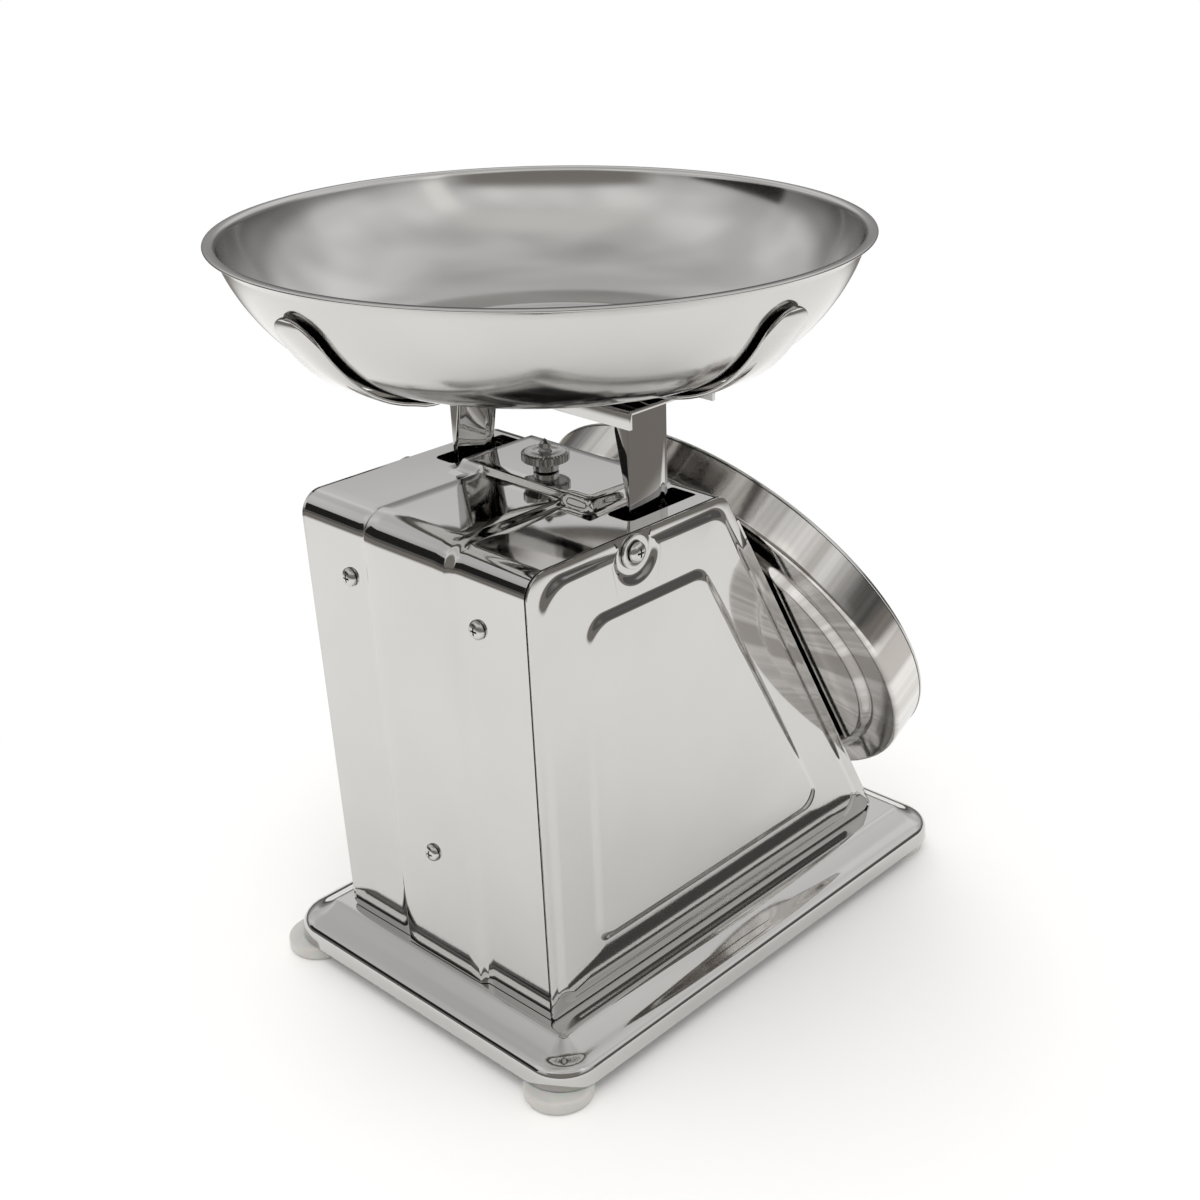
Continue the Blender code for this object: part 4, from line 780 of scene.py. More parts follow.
class KITCHENSCALE_OT_cover(bpy.types.Operator):
    """Bends the rear and top cover, with its raised band, plateau and slots."""

    bl_idname = "kitchenscale.cover"
    bl_label = "Rear and top cover"

    def execute(self, context):
        sizes = context.scene.scale_sizes
        half = COVER_HIGH.x
        right = spread(0, sizes.band_half, 4)[:-1]
        right += spread(sizes.band_half, sizes.band_half + sizes.band_slope, SLOPE_STEPS)
        right += spread(sizes.band_half + sizes.band_slope, sizes.plateau_half, 3)[1:-1]
        right += spread(sizes.plateau_half, sizes.plateau_half + sizes.plateau_slope, SLOPE_STEPS)
        right += spread(sizes.plateau_half + sizes.plateau_slope, half, 6)[1:]
        across = [-x for x in reversed(right[1:])] + right
        loops = []
        for depth, z, normal in cover_path(sizes):
            outer, inner = [], []
            for x in across:
                lift = cover_lift(x, depth, sizes)
                outer.append((x, REAR - depth - normal[0] * lift, z + normal[1] * lift))
                lift -= sizes.sheet
                inner.append((x, REAR - depth - normal[0] * lift, z + normal[1] * lift))
            loops.append(outer + inner[::-1])
        name = "rear_top_cover"
        cover = piece(name + "_bent", *lofted(loops), "sheet", "housing", [name], "polished_steel")
        cutters = []
        for name in ("post_left", "post_right"):
            slot = prism(slot_outline(name), TOP - 0.01, TOP + 0.01)
            cutters.append(piece(name + "_slot", *slot, None, None))
        for name in ("rear_screw_left", "rear_screw_right", "rear_screw_lower"):
            low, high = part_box(name)
            middle = ((low.x + high.x) / 2, REAR, (low.z + high.z) / 2)
            turn = Matrix.Translation(middle) @ Matrix.Rotation(-math.pi / 2, 4, "X")
            cutters.append(drill(name + "_bore", SCREW_BORE, 0.006, turn))
        axis = JOINTS["nut_turn"]["pos_m"]
        turn = Matrix.Translation((axis[0], axis[1], TOP))
        cutters.append(drill("zero_bore", NUT_BORE, 0.01, turn))
        cut(cover, cutters)
        repaint("sheet", "front_panel")
        return {"FINISHED"}


def screw(name, way):
    """A pan-head screw with a cross recess, in the place of a CAD screw. Its head points along the axis."""
    low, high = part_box(name)
    axis = Vector(way)
    tip = (low + high) / 2
    head = 0.0
    for i in range(3):
        if abs(way[i]) > 0.5:
            tip[i] = high[i] if way[i] > 0.5 else low[i]
        else:
            head = max(head, (high[i] - low[i]) / 2)
    height = SCREW_HEAD
    profile = [(0, height), (head * 0.3, height * 0.985), (head * 0.55, height * 0.90)]
    profile += [(head * 0.76, height * 0.74), (head * 0.91, height * 0.50), (head * 0.99, height * 0.2)]
    profile += [(head, height * 0.05), (head * 0.97, 0.0)]
    profile += [(SCREW_SHANK, 0), (SCREW_SHANK, -SCREW_LENGTH), (0, -SCREW_LENGTH)]
    turn = Matrix.Translation(tip - axis * height) @ axis.to_track_quat("Z", "Y").to_matrix().to_4x4()
    skin = turned(profile, SMALL_ROUND)
    made = piece(name + "_turned", *skin, "turned", "housing", [name], "polished_steel", turn)
    cut(made, [cross_recess(head, height, turn)])


def cross_recess(head, height, turn):
    """A cutter in the shape of a cross point, deeper at its middle."""
    arm, width = head * 0.60, head * 0.13
    outline = []
    for across, along in ((-1, -1), (1, -1), (1, 1), (-1, 1)):
        corner = [(arm, width), (width, width), (width, arm)]
        corner = [(across * x, along * y) for x, y in corner]
        outline += corner if across == along else corner[::-1]
    loops = [
        [(x * 0.45, y * 0.45, height * 0.15) for x, y in outline],
        [(x, y, height * 1.6) for x, y in outline],
    ]
    return piece("cross", *lofted(loops), None, None, turn=turn)


class KITCHENSCALE_OT_fasteners(bpy.types.Operator):
    """Fits the screws and washers."""

    bl_idname = "kitchenscale.fasteners"
    bl_label = "Screws and washers"

    def execute(self, context):
        for name in ("rear_screw_left", "rear_screw_right", "rear_screw_lower"):
            screw(name, (0.0, 1.0, 0.0))
        screw("side_screw_left", (1.0, 0.0, 0.0))
        screw("side_screw_right", (-1.0, 0.0, 0.0))
        for side, word in ((1, "left"), (-1, "right")):
            name = "side_washer_" + word
            low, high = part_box(name)
            middle = (low + high) / 2
            radius, thick = (high.z - low.z) / 2, high.x - low.x
            edge = thick * 0.35
            profile = [(0.002, 0), (radius, 0), (radius, thick - edge)]
            profile += arc((radius - edge, thick - edge), edge, 20, 90, 4)
            profile += [(radius * 0.72, thick), (radius * 0.66, thick * 0.82), (0.002, thick * 0.82)]
            start = Vector((low.x if side > 0 else high.x, middle.y, middle.z))
            turn = Vector((side, 0, 0)).to_track_quat("Z", "Y").to_matrix().to_4x4()
            turn = Matrix.Translation(start) @ turn
            skin = turned(profile, SMALL_ROUND * 2)
            piece(name + "_stamped", *skin, "turned", "housing", [name], "polished_steel", turn)
        repaint("turned", "case_screw_top", "case_screw_left", "case_screw_right")
        return {"FINISHED"}


# Platform and bowl


# Width of the flange round the rim, and the flat round the bottom's middle
RIM_FLANGE = 0.0022
BOWL_FLAT = 0.020
BOTTOM_RINGS = (0.030, 0.044, 0.058)
RING_HEIGHT = 0.00045
ARM_SHEET = 0.0015
ARM_CLEARANCE = 0.0011
ARM_BEND = 0.007


def bowl_profile(steps, bottom, rim_radius, rim):
    """Radius and height of the bowl's outer skin, drawn in near the top to leave room for the flange."""
    points = []
    for i in range(steps + 1):
        turn = math.radians(90) * (i / steps) ** 1.25
        radius = BOWL_FLAT + (rim_radius - BOWL_FLAT) * math.sin(turn) ** 0.42
        height = bottom + (rim - bottom) * (1 - math.cos(turn) ** 2.05)
        points.append((radius - RIM_FLANGE * ((height - bottom) / (rim - bottom)) ** 5, height))
    return points


def bowl_places(sizes):
    """The bowl's bottom, rim radius and rim height, from its CAD box."""
    rim_radius = (BOWL_HIGH.x - BOWL_LOW.x) / 2 - sizes.rim_bead
    return BOWL_LOW.z, rim_radius, BOWL_HIGH.z - sizes.rim_bead


class KITCHENSCALE_OT_bowl(bpy.types.Operator):
    """Spins the bowl, with a rolled rim and rings pressed in its bottom."""

    bl_idname = "kitchenscale.bowl"
    bl_label = "Bowl"

    def execute(self, context):
        sizes = context.scene.scale_sizes
        bottom, rim_radius, rim = bowl_places(sizes)
        outer = [p for p in bowl_profile(72, bottom, rim_radius, rim) if p[0] > 0.024]
        inner = offset_profile(outer, -sizes.bowl_sheet)
        floor_z = bottom + sizes.bowl_sheet
        rings = []
        for centre in BOTTOM_RINGS:
            for k in range(-6, 7):
                height = floor_z + RING_HEIGHT * (1 + math.cos(math.pi * k / 6)) / 2
                rings.append((centre + k * 0.0004, height))
        rest = [p for p in inner if p[0] > 0.0625]
        (start_x, start_z), foot = rest[0], 0.0611
        halfway = (foot + (start_x - foot) * 0.5, floor_z + (start_z - floor_z) * 0.5)
        inner_path = rest[::-1] + [halfway, (foot, floor_z)] + rings[::-1]
        edge = sizes.bowl_sheet / 2
        outer = [p for p in outer if p[1] < rim - 0.0022]
        inner_path = [p for p in inner_path if p[1] < rim - 0.0006]
        wall_x = rim_radius - RIM_FLANGE
        top = rim + sizes.rim_bead
        out_x = rim_radius + sizes.rim_bead - edge
        bead = [(wall_x + 0.0002, top - 0.0024), (wall_x + 0.0007, top - 0.0014)]
        bead += [(wall_x + 0.0013, top - 2 * edge - 0.0001)]
        bead += arc((out_x, top - edge), edge, -90, 90, 10)
        bead += [(wall_x + 0.0002, top), (wall_x - 0.0005, top - 0.0003), (wall_x - 0.0009, top - 0.0010)]
        profile = [(0, bottom)] + [(0.012, bottom), (0.022, bottom)] + outer + bead
        profile += inner_path + [(0.015, floor_z), (0, floor_z)]
        turn = Matrix.Translation((BOWL_AXIS.x, BOWL_AXIS.y, 0))
        skin = turned(profile)
        piece("bowl_spun", *skin, "spun", "bowl", ["weighing_bowl"], "polished_steel", turn, 60)
        return {"FINISHED"}


def arm_loops(name, direction, sizes):
    """Sections along a pair of arms: flat under the bowl, then up its wall to a round end."""
    low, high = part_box(name)
    bottom, rim_radius, rim = bowl_places(sizes)
    sheet = ARM_SHEET
    flat_top = low.z + sheet
    half = (high.y - low.y if direction == "X" else high.x - low.x) / 2
    tip_z = high.z
    wall = offset_profile(bowl_profile(70, bottom, rim_radius, rim), ARM_CLEARANCE)
    wall = [p for p in wall if flat_top + sheet < p[1] < tip_z - 0.0001]
    join = wall[0][0] - ARM_BEND
    path = [(r, flat_top) for r in spread(0, join, 4)] + wall[::3]
    if wall[::3][-1] != wall[-1]:
        path.append(wall[-1])
    path = smoothed(path, 3)
    length = [0.0]
    for a, b in zip(path, path[1:]):
        length.append(length[-1] + math.dist(a, b))
    lower = offset_profile(path, sheet)
    total = length[-1]

    def at(points, s):
        j = max(i for i in range(len(length) - 1) if length[i] <= s)
        f = (s - length[j]) / (length[j + 1] - length[j])
        return [points[j][k] + f * (points[j + 1][k] - points[j][k]) for k in (0, 1)]

    stations = [(p, q, half) for p, q, s in zip(path, lower, length) if total - s > half]
    for k in range(1, 13):
        angle = math.radians(7.4 * k)
        s = total - half + half * math.sin(angle)
        stations.append((at(path, s), at(lower, s), half * math.cos(angle)))
    edge = 0.0004
    loops = []
    mirrored = [((-p[0], p[1]), (-q[0], q[1]), w) for p, q, w in reversed(stations[1:])]
    for (r, z), (r2, z2), width in mirrored + stations:
        inner = max(width - edge, width * 0.6)
        near = width - (width - inner) * 0.3
        side = [(0.0, inner), (0.12, near), (0.3, width), (0.7, width), (0.88, near), (1.0, inner)]
        ring = [(0.0, -inner)] + side + [(share, -reach) for share, reach in side[:0:-1]]
        sides = [(r + (r2 - r) * share, z + (z2 - z) * share, reach) for share, reach in ring]
        if direction == "X":
            loops.append([(BOWL_AXIS.x + a, BOWL_AXIS.y + c, b) for a, b, c in sides])
        else:
            loops.append([(BOWL_AXIS.x + c, BOWL_AXIS.y + a, b) for a, b, c in sides])
    return loops


class KITCHENSCALE_OT_platform(bpy.types.Operator):
    """Bends the four arms, the channel and the posts."""

    bl_idname = "kitchenscale.platform"
    bl_label = "Platform"

    def execute(self, context):
        sizes = context.scene.scale_sizes
        for name, direction in (("side_arms", "X"), ("cross_arms", "Y")):
            skin = lofted(arm_loops(name, direction, sizes))
            piece(name + "_bent", *skin, "sheet", "platform", [name], "polished_steel", sharp=60)
        for name in ("platform_channel", "post_left", "post_right"):
            node = frame["nodes"][name]
            made = placed(name + "_bent", node.data.copy())
            made.data.materials.clear()
            made.data.materials.append(finish("sheet"))
            merge(made)
            soften(made, 0.0004)
            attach(made, "platform")
            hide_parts(name)
        repaint("zinc", "spring_yoke", "upper_link_pin", "lower_link_pin", "drive_arm", "drive_pin")
        return {"FINISHED"}


def merge(made):
    """Welds a copied CAD mesh and joins its flat facets, so that its edges can be rounded."""
    work = bmesh.new()
    work.from_mesh(made.data)
    bmesh.ops.remove_doubles(work, verts=work.verts, dist=WELD)
    bmesh.ops.dissolve_limit(
        work, angle_limit=math.radians(1), verts=work.verts, edges=work.edges, delimit={"NORMAL"}
    )
    work.to_mesh(made.data)
    work.free()


# Zero adjuster


class KITCHENSCALE_OT_zero_adjuster(bpy.types.Operator):
    """Turns and knurls the zero nut, and finishes its hanger in turned steel."""

    bl_idname = "kitchenscale.zero_adjuster"
    bl_label = "Zero adjuster"

    def execute(self, context):
        sizes = context.scene.scale_sizes
        low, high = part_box("zero_nut")
        axis = JOINTS["nut_turn"]["pos_m"]
        radius = (high.x - low.x) / 2
        disc = high.z - 0.0036
        bore, neck, edge = 0.0026, 0.0048, 0.0005
        body = [(bore, low.z), (neck - 0.0003, low.z), (neck, low.z + 0.0003), (neck, disc)]
        body += [(radius - edge * 2, disc), (radius, disc + edge)]
        body += [(radius, high.z - edge), (radius - edge * 2, high.z)]
        body += [(radius * 0.55, high.z), (radius * 0.5, high.z - 0.0002), (bore, high.z - 0.0002)]
        segments = sizes.knurls * 6
        points, faces = turned(body, segments)
        knurled = []
        for x, y, z in points:
            r = math.hypot(x, y)
            if r > radius - edge * 2.5:
                turn = math.atan2(y, x) * sizes.knurls
                r -= 0.00045 * (0.5 + 0.5 * math.cos(turn)) ** 2
                scale = r / math.hypot(x, y)
                x, y = x * scale, y * scale
            knurled.append((x, y, z))
        turn = Matrix.Translation((axis[0], axis[1], 0))
        skin = (knurled, faces)
        piece("zero_nut_knurled", *skin, "turned", "nut", ["zero_nut"], "polished_steel", turn, 28)
        repaint("turned", "zero_hanger")
        return {"FINISHED"}


# Dial drum. Heights are measured outward from the front panel, along the dial's axis.

DRUM_RADIUS = 0.0973
DRUM_BACK = 0.0045
DRUM_FRONT = 0.0237
DRUM_SHEET = 0.001
DRUM_EDGE = 0.0022
BOSS_RADIUS = 0.080
SEAT_RADIUS = 0.054
SPINDLE_BORE = 0.0081
BEZEL_RADIUS = 0.0976
BEZEL_LIP = 0.0008
BEZEL_OPENING = 0.0905
OPENING_LIP = 0.0006
GLASS_LOW = DRUM_FRONT - 0.0037
GLASS_HIGH = GLASS_LOW + 0.0024
GLASS_RADIUS = BEZEL_RADIUS - 0.0026
FACE = 0.0115
FACE_RADIUS = 0.092
FACE_SHEET = 0.0008
FACE_BORE = 0.006
MARK_RADIUS = 0.0865
MARK_HEIGHT = 0.00012
POINTER = 0.0138
POINTER_REACH = 0.080
HUB_RADIUS = 0.0048
CAP_RADIUS = 0.0034


class KITCHENSCALE_OT_drum(bpy.types.Operator):
    """Spins the drum that holds the dial, and its bezel."""

    bl_idname = "kitchenscale.drum"
    bl_label = "Dial drum"

    def execute(self, context):
        r, back, t, edge = DRUM_RADIUS, DRUM_BACK, DRUM_SHEET, DRUM_EDGE
        lip = DRUM_FRONT - 0.0017
        boss, seat, ring = BOSS_RADIUS, SEAT_RADIUS, GAP + 0.001
        profile = [(r, lip), (r, back + edge + 0.004)]
        profile += arc((r - edge, back + edge), edge, 0, -90, 10)
        profile += [(boss + 0.0062, back)]
        profile += [(boss + 0.0055 * (1 - k / 12), back - (back - ring) * ease(k / 12)) for k in range(13)]
        profile += [(seat + 0.004 * (1 - k / 6), ring - 0.001 * ease(k / 6)) for k in range(7)]
        profile += [(SPINDLE_BORE, GAP), (SPINDLE_BORE, GAP + t)]
        profile += [(seat, GAP + t), (seat + 0.004, ring + t), (boss - 0.001, ring + t)]
        profile += [(boss + 0.005, back + t)]
        profile += [(r - edge - t, back + t), (r - t, back + edge + t), (r - t, lip)]
        skin = turned(profile)
        case = piece("drum_spun", *skin, "band", "housing", ["dial_case"], "polished_steel", DIAL)
        cutters = []
        for word in ("top", "left", "right"):
            low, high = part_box("case_screw_" + word)
            middle = DIAL.inverted() @ ((low + high) / 2)
            turn = DIAL @ Matrix.Translation((middle.x, middle.y, 0))
            cutters.append(drill("bore_" + word, SCREW_BORE, 0.003, turn))
        cut(case, cutters)
        outer, front, seat = BEZEL_RADIUS, DRUM_FRONT, GLASS_RADIUS + GAP
        profile = [(seat, GLASS_LOW), (outer - 0.0015, GLASS_LOW), (outer - 0.0015, front - 0.0014)]
        profile += [(outer - 0.0002, front - 0.0014), (outer, front - 0.0012)]
        profile += arc((outer - BEZEL_LIP, front - BEZEL_LIP), BEZEL_LIP, 0, 90, 6)
        profile += arc((BEZEL_OPENING + OPENING_LIP, front - OPENING_LIP), OPENING_LIP, 90, 180, 5)
        profile += [(BEZEL_OPENING, GLASS_HIGH + GAP), (seat, GLASS_HIGH + GAP)]
        skin = turned(profile)
        piece("bezel_spun", *skin, "spun", "housing", ["dial_bezel"], "polished_steel", DIAL)
        return {"FINISHED"}


class KITCHENSCALE_OT_dial(bpy.types.Operator):
    """Enamels and prints the dial, and fits the pointer and the glass."""

    bl_idname = "kitchenscale.dial"
    bl_label = "Dial and pointer"

    def execute(self, context):
        r, t, corner = FACE_RADIUS, FACE_SHEET, 0.0012
        rim = DRUM_BACK + DRUM_SHEET + GAP
        profile = [(FACE_BORE, FACE), (r - corner, FACE)]
        profile += arc((r - corner, FACE - corner), corner, 70, 0, 5)
        profile += [(r, rim), (r - t, rim), (r - t, FACE - 0.0014)]
        profile += [(r - 0.0014, FACE - t), (FACE_BORE, FACE - t)]
        skin = turned(profile)
        piece("dial_enamelled", *skin, "enamel", "housing", ["dial_face"], "dial_paint", DIAL)
        self.marks()
        self.numbers()
        self.pointer()
        glass, edge = GLASS_RADIUS - 0.0001, 0.0003
        profile = [(0, GLASS_LOW), (glass - edge, GLASS_LOW), (glass, GLASS_LOW + edge)]
        profile += [(glass, GLASS_HIGH - edge), (glass - edge, GLASS_HIGH), (0, GLASS_HIGH)]
        piece("dial_pane", *turned(profile), "glass", "housing", ["dial_glass"], "dial_glass", DIAL)
        repaint("brass", "spindle_bush", "pinion_spindle", "rack", "rack_guide")
        return {"FINISHED"}

    def marks(self):
        """Printed marks: one for every 50 g round 350 degrees, longer at each 100 and 500 g."""
        points, faces = [], []
        for i in range(101):
            angle = math.radians(3.5 * i)
            long, wide = 0.0035, 0.00025
            if i % 2 == 0:
                long, wide = 0.0055, 0.0004
            if i % 10 == 0:
                long, wide = 0.0085, 0.00055
            way = Vector((math.sin(angle), math.cos(angle)))
            side = Vector((way.y, -way.x)) * wide
            start = len(points)
            for z in (FACE, FACE + MARK_HEIGHT):
                for inward, hand in ((0.0, 1), (0.0, -1), (long, -1), (long, 1)):
                    corner = way * (MARK_RADIUS - inward) + side * hand
                    points.append((corner.x, corner.y, z))
            faces += [tuple(start + k for k in (0, 1, 2, 3)), tuple(start + k for k in (4, 5, 6, 7))]
            faces += [tuple(start + k for k in (j, (j + 1) % 4, (j + 1) % 4 + 4, j + 4)) for j in range(4)]
        piece("dial_marks", points, faces, "ink", "housing", slot="dial_paint", turn=DIAL)

    def numbers(self):
        """Numbers at every 500 g, and large ones at each kilogram."""
        for i in range(10):
            angle = math.radians(35 * i)
            whole = i % 2 == 0
            text = bpy.data.curves.new("number", "FONT")
            text.body = str(i // 2) if whole else str(i * 500 % 1000)
            text.size = 0.0135 if whole else 0.0062
            text.align_x = "CENTER"
            text.align_y = "CENTER"
            text.extrude = MARK_HEIGHT / 2
            text.resolution_u = 6
            holder = placed("number", text)
            graph = bpy.context.evaluated_depsgraph_get()
            mesh = bpy.data.meshes.new_from_object(holder.evaluated_get(graph))
            bpy.data.objects.remove(holder, do_unlink=True)
            reach = 0.069 if whole else 0.073
            place = Vector((reach * math.sin(angle), reach * math.cos(angle), FACE + MARK_HEIGHT / 2))
            mesh.transform(DIAL @ Matrix.Translation(place))
            mesh.materials.clear()
            mesh.materials.append(finish("ink"))
            made = placed("dial_number_" + str(i), mesh)
            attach(made, "housing")

    def pointer(self):
        """A tapered pointer with a counterweight tail, on a turned hub, under a domed cap."""
        low, tip = POINTER, POINTER_REACH
        outline = [(0.0028, -0.022), (0.0034, -0.017), (0.0018, -0.006), (0.0016, 0.006), (0.0004, tip)]
        outline = [(-0.0028, -0.022)] + outline + [(-x, y) for x, y in outline[:0:-1]]
        skin = prism(outline, low + 0.0008, low + 0.0016)
        blade = piece("pointer_blade", *skin, "pointer", None, turn=DIAL)
        bore, r, edge, top = 0.0018, HUB_RADIUS, 0.0003, low + 0.0022
        profile = [(bore, low), (r - edge, low), (r, low + edge)]
        profile += [(r, top - edge), (r - edge, top), (bore, top)]
        hub = piece("hub", *turned(profile, SMALL_ROUND), "pointer", None, turn=DIAL)
        cut(blade, [hub], "UNION")
        hole = turned([(0, 0), (bore, 0), (bore, 0.03), (0, 0.03)], SMALL_ROUND)
        cut(blade, [piece("bore", *hole, None, None, turn=DIAL)])
        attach(blade, "needle")
        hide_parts("pointer")
        low, r = top + 2 * GAP, CAP_RADIUS
        profile = [(0, low), (r, low), (r, low + 0.0004)]
        profile += [(r * math.cos(a), low + 0.0004 + 0.0014 * math.sin(a)) for a in spread(0.15, 1.4, 8)]
        skin = turned(profile + [(0, low + 0.0018)], SMALL_ROUND)
        piece("pointer_cap_turned", *skin, "brass", "needle", ["pointer_cap"], "turned_brass", DIAL)


class KITCHENSCALE_OT_mechanism(bpy.types.Operator):
    """Finishes the frame, pivot pins, bridge, levers and springs inside the housing."""

    bl_idname = "kitchenscale.mechanism"
    bl_label = "Mechanism"

    def execute(self, context):
        repaint("zinc", "inner_frame", "upper_pivot_pin", "lower_pivot_pin", "movement_bridge")
        repaint("zinc", "spring_left", "spring_right", "upper_lever", "lower_lever")
        return {"FINISHED"}


# Stage

FLOOR_RADIUS = 4
CARD_MIDDLE = 0.12
# Distances from the middle over which the floor turns white to the eye, and ends in reflections
WHITE_FLOOR = (0.20, 0.36)
FLOOR_END = (0.62, 0.95)
CAMERA_PLACE = (-0.41405, REAR + 0.31990, PAN_LOW.z + 0.40523)


def direction(azimuth, elevation):
    """The way from the middle of the stage toward a place round it, with angles in degrees."""
    a, e = math.radians(azimuth), math.radians(elevation)
    return Vector((math.sin(a) * math.cos(e), -math.cos(a) * math.cos(e), math.sin(e)))


def card(name, azimuth, elevation, distance, width, height, brightness, soft=0.25, tint="#FFFDF9"):
    """A studio card that only shows in polished metal. Its edges fade over a share of its size."""
    way = direction(azimuth, elevation)
    turn = way.to_track_quat("Z", "Y").to_matrix().to_4x4()
    mesh = bpy.data.meshes.new(name)
    x, y = width / 2, height / 2
    mesh.from_pydata([(-x, -y, 0), (x, -y, 0), (x, y, 0), (-x, y, 0)], [], [(0, 1, 2, 3)])
    mesh.transform(Matrix.Translation(way * distance + Vector((0, 0, CARD_MIDDLE))) @ turn)
    sides = mesh.uv_layers.new(name="sides")
    for corner, at in zip(sides.data, ((0, 0), (1, 0), (1, 1), (0, 1))):
        corner.uv = at
    made = placed(name, mesh)
    fabric = bpy.data.materials.new(name)
    fabric.use_nodes = True
    tree = fabric.node_tree
    tree.nodes.remove(tree.nodes["Principled BSDF"])
    across = add(tree, "ShaderNodeUVMap", {"uv_map": "sides"}).outputs["UV"]
    place = add(tree, "ShaderNodeSeparateXYZ", links={"Vector": across})
    edges = []
    for axis in ("X", "Y"):
        away = maths(tree, "ABSOLUTE", maths(tree, "SUBTRACT", place.outputs[axis], 0.5))
        edges.append(ranged(tree, away, (0.5 - soft, 0.5), (1.0, 0.0), True))
    glow = add(tree, "ShaderNodeEmission", inputs={"Color": linear(tint), "Strength": brightness})
    clear = add(tree, "ShaderNodeBsdfTransparent")
    surface = mixed(tree, maths(tree, "MULTIPLY", *edges), clear.outputs[0], glow.outputs[0])
    tree.links.new(surface, tree.nodes["Material Output"].inputs["Surface"])
    mesh.materials.append(fabric)
    made.visible_camera = False
    made.visible_diffuse = False
    made.visible_shadow = False


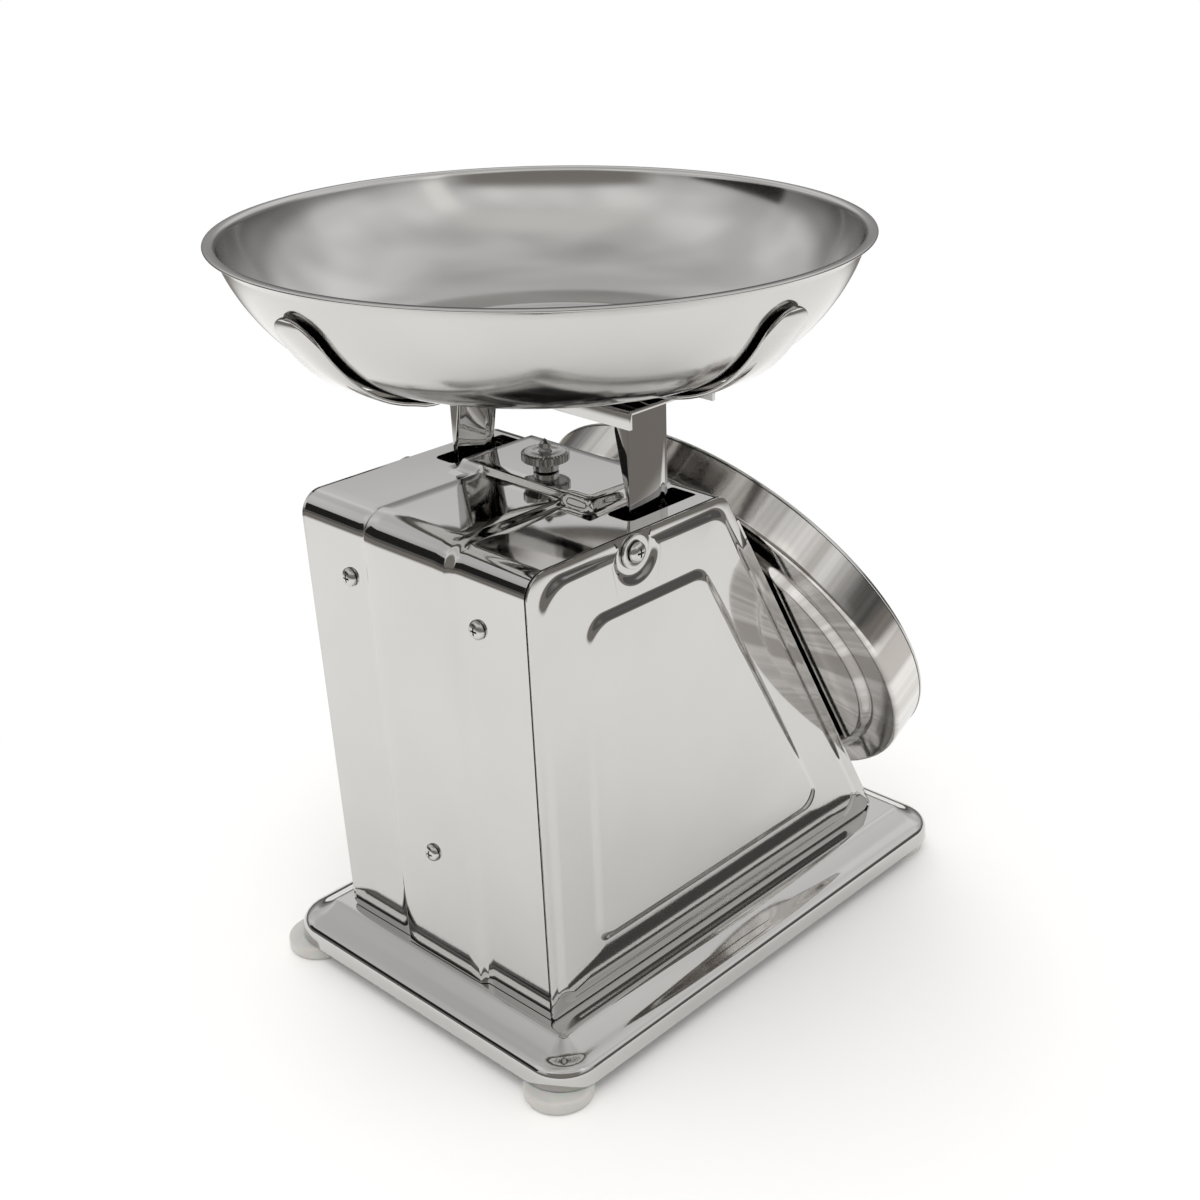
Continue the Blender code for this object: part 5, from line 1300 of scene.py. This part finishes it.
class KITCHENSCALE_OT_stage(bpy.types.Operator):
    """Sets up the floor, the studio cards, the lights and the camera."""

    bl_idname = "kitchenscale.stage"
    bl_label = "Studio"

    def execute(self, context):
        settings = context.scene.studio_settings
        self.floor(context)
        self.cards()
        self.lights(settings)
        self.camera(settings)
        context.scene.view_settings.view_transform = "Standard"
        return {"FINISHED"}

    def floor(self, context):
        """A sweep of white paper. Far from the object it is plain white."""
        angles = spread(0, 2 * math.pi, 64)[:-1]
        r = FLOOR_RADIUS
        rims = [[(r * math.cos(a), r * math.sin(a), z) for a in angles] for z in (-0.002, 0.0)]
        points, faces = lofted(rims)
        mesh = bpy.data.meshes.new("floor")
        mesh.from_pydata(points, [], faces)
        made = placed("floor", mesh)
        paper, tree, shader, place = new_material("matt_paper")
        constants(shader, Base_Color=linear(context.scene.scale_colours.floor), Roughness=0.9)
        far = add(tree, "ShaderNodeVectorMath", {"operation": "LENGTH"}, links={"Vector": place})
        path = add(tree, "ShaderNodeLightPath").outputs
        seen = maths(tree, "ADD", path["Is Camera Ray"], path["Is Transmission Ray"], clamp=True)
        fade = ranged(tree, far.outputs["Value"], WHITE_FLOOR, (0.0, 1.0), True)
        white = add(tree, "ShaderNodeEmission", inputs={"Color": (1, 1, 1, 1), "Strength": 1.0})
        near = mixed(tree, maths(tree, "MULTIPLY", seen, fade), shader.outputs[0], white.outputs[0])
        # In a reflection the paper ends, and the dim room shows beyond it.
        end = ranged(tree, far.outputs["Value"], FLOOR_END, (0.0, 1.0), True)
        beyond = maths(tree, "MULTIPLY", path["Is Glossy Ray"], end)
        dim = add(tree, "ShaderNodeEmission", inputs={"Color": linear("#B0AAA3"), "Strength": 0.55})
        whole = mixed(tree, beyond, near, dim.outputs[0])
        tree.links.new(whole, tree.nodes["Material Output"].inputs["Surface"])
        mesh.materials.append(paper)

    def cards(self):
        """Dark and bright cards, whose edges draw the shapes in the polished steel."""
        card("behind_camera", 222, 20, 2.0, 3.6, 1.6, 0.30, 0.20, "#EDE6DE")
        card("bright_above_camera", 222, 62, 1.9, 2.6, 0.7, 0.80, 0.35)
        card("dark_rear_left", 141, 16, 1.6, 1.3, 0.55, 0.02, 0.04)
        card("dark_front_right", 312, 8, 1.7, 1.3, 0.55, 0.12, 0.15)
        card("drum_bright", 272, 38, 1.5, 0.30, 0.9, 1.1, 0.3)

    def lights(self, settings):
        """Two softboxes, and a white room that polished metal sees as dim low down and brighter above."""
        world = bpy.data.worlds.new("white_room")
        bpy.context.scene.world = world
        world.use_nodes = True
        tree = world.node_tree
        path = add(tree, "ShaderNodeLightPath").outputs
        place = add(tree, "ShaderNodeTexCoord").outputs["Generated"]
        height = add(tree, "ShaderNodeSeparateXYZ", links={"Vector": place})
        walls = add(tree, "ShaderNodeValToRGB", links={"Fac": height.outputs["Z"]})
        ramp = walls.color_ramp
        ramp.interpolation = "EASE"
        ramp.elements[0].position = 0.02
        ramp.elements[0].color = (0.125, 0.12, 0.118, 1.0)
        ramp.elements[1].position = 0.98
        ramp.elements[1].color = (0.62, 0.62, 0.61, 1.0)
        for position, tone in ((0.20, 0.30), (0.38, 0.72), (0.62, 0.85)):
            ramp.elements.new(position).color = (tone, tone * 0.995, tone * 0.985, 1.0)
        inputs = {"Scale": 2.2, "Detail": 1.0}
        patches = add(tree, "ShaderNodeTexNoise", None, inputs, {"Vector": place})
        contrast = ranged(tree, patches.outputs["Fac"], (0.35, 0.65), (0.80, 1.15))
        links = {"Vector": walls.outputs["Color"], "Scale": contrast}
        room = add(tree, "ShaderNodeVectorMath", {"operation": "SCALE"}, links=links)
        seen = maths(tree, "ADD", path["Is Camera Ray"], path["Is Transmission Ray"], clamp=True)
        plain = ranged(tree, seen, (0.0, 1.0), (settings.fill, 1.0))
        links = {"Factor": path["Is Glossy Ray"], "A": plain, "B": room.outputs["Vector"]}
        tone = add(tree, "ShaderNodeMix", {"data_type": "RGBA"}, links=links)
        tree.links.new(tone.outputs["Result"], tree.nodes["Background"].inputs["Color"])
        for name, azimuth, elevation, distance, size, power in (
            ("key_softbox", 190, 78, 1.4, 1.5, settings.key_power),
            ("side_softbox", 60, 40, 1.4, 0.8, settings.key_power * 0.25),
        ):
            data = bpy.data.lights.new(name, "AREA")
            data.shape = "RECTANGLE"
            data.size = size
            data.size_y = size * 0.8
            data.energy = power
            made = placed(name, data)
            way = direction(azimuth, elevation)
            made.location = way * distance
            made.rotation_mode = "QUATERNION"
            made.rotation_quaternion = way.to_track_quat("Z", "Y")
            made.visible_glossy = False

    def camera(self, settings):
        """The camera, with its roll and lens shift."""
        data = bpy.data.cameras.new("camera")
        made = placed("camera", data)
        back = direction(settings.azimuth, settings.elevation)
        a = math.radians(settings.azimuth)
        right = Vector((math.cos(a), math.sin(a), 0))
        up = back.cross(right)
        r = math.radians(settings.roll)
        right, up = right * math.cos(r) + up * math.sin(r), up * math.cos(r) - right * math.sin(r)
        turn = Matrix((right, up, back)).transposed()
        made.rotation_mode = "QUATERNION"
        made.rotation_quaternion = turn.to_quaternion()
        made.location = CAMERA_PLACE
        data.lens = settings.lens
        data.sensor_width = 36.0
        data.shift_x = settings.shift_x
        data.shift_y = settings.shift_y
        data.clip_start = 0.01
        bpy.context.scene.camera = made


class KITCHENSCALE_PT_panel(bpy.types.Panel):
    """Lists the steps that build the scale."""

    bl_label = "Kitchen scale"
    bl_space_type = "VIEW_3D"
    bl_region_type = "UI"
    bl_category = "Kitchen scale"

    def draw(self, context):
        for made in OPERATORS:
            self.layout.operator(made.bl_idname)
        for group in ("scale_sizes", "scale_colours", "studio_settings"):
            settings = getattr(context.scene, group)
            column = self.layout.column()
            for name in settings.__annotations__:
                column.prop(settings, name)


GROUPS = (
    ("scale_sizes", ScaleSizes),
    ("scale_colours", ScaleColours),
    ("studio_settings", StudioSettings),
)
OPERATORS = (
    KITCHENSCALE_OT_base,
    KITCHENSCALE_OT_side_panels,
    KITCHENSCALE_OT_cover,
    KITCHENSCALE_OT_fasteners,
    KITCHENSCALE_OT_bowl,
    KITCHENSCALE_OT_platform,
    KITCHENSCALE_OT_zero_adjuster,
    KITCHENSCALE_OT_drum,
    KITCHENSCALE_OT_dial,
    KITCHENSCALE_OT_mechanism,
    KITCHENSCALE_OT_stage,
)


def register():
    """Adds the settings, the steps and the panel."""
    for name, group in GROUPS:
        bpy.utils.register_class(group)
        setattr(bpy.types.Scene, name, PointerProperty(type=group))
    for made in (*OPERATORS, KITCHENSCALE_PT_panel):
        bpy.utils.register_class(made)


def unregister():
    """Takes away the panel, the steps and the settings."""
    for made in (KITCHENSCALE_PT_panel, *reversed(OPERATORS)):
        bpy.utils.unregister_class(made)
    for name, group in reversed(GROUPS):
        delattr(bpy.types.Scene, name)
        bpy.utils.unregister_class(group)


def main():
    """Builds the scale and its studio."""
    register()
    for made in OPERATORS:
        group, name = made.bl_idname.split(".")
        getattr(getattr(bpy.ops, group), name)()


if __name__ == "__main__":
    main()
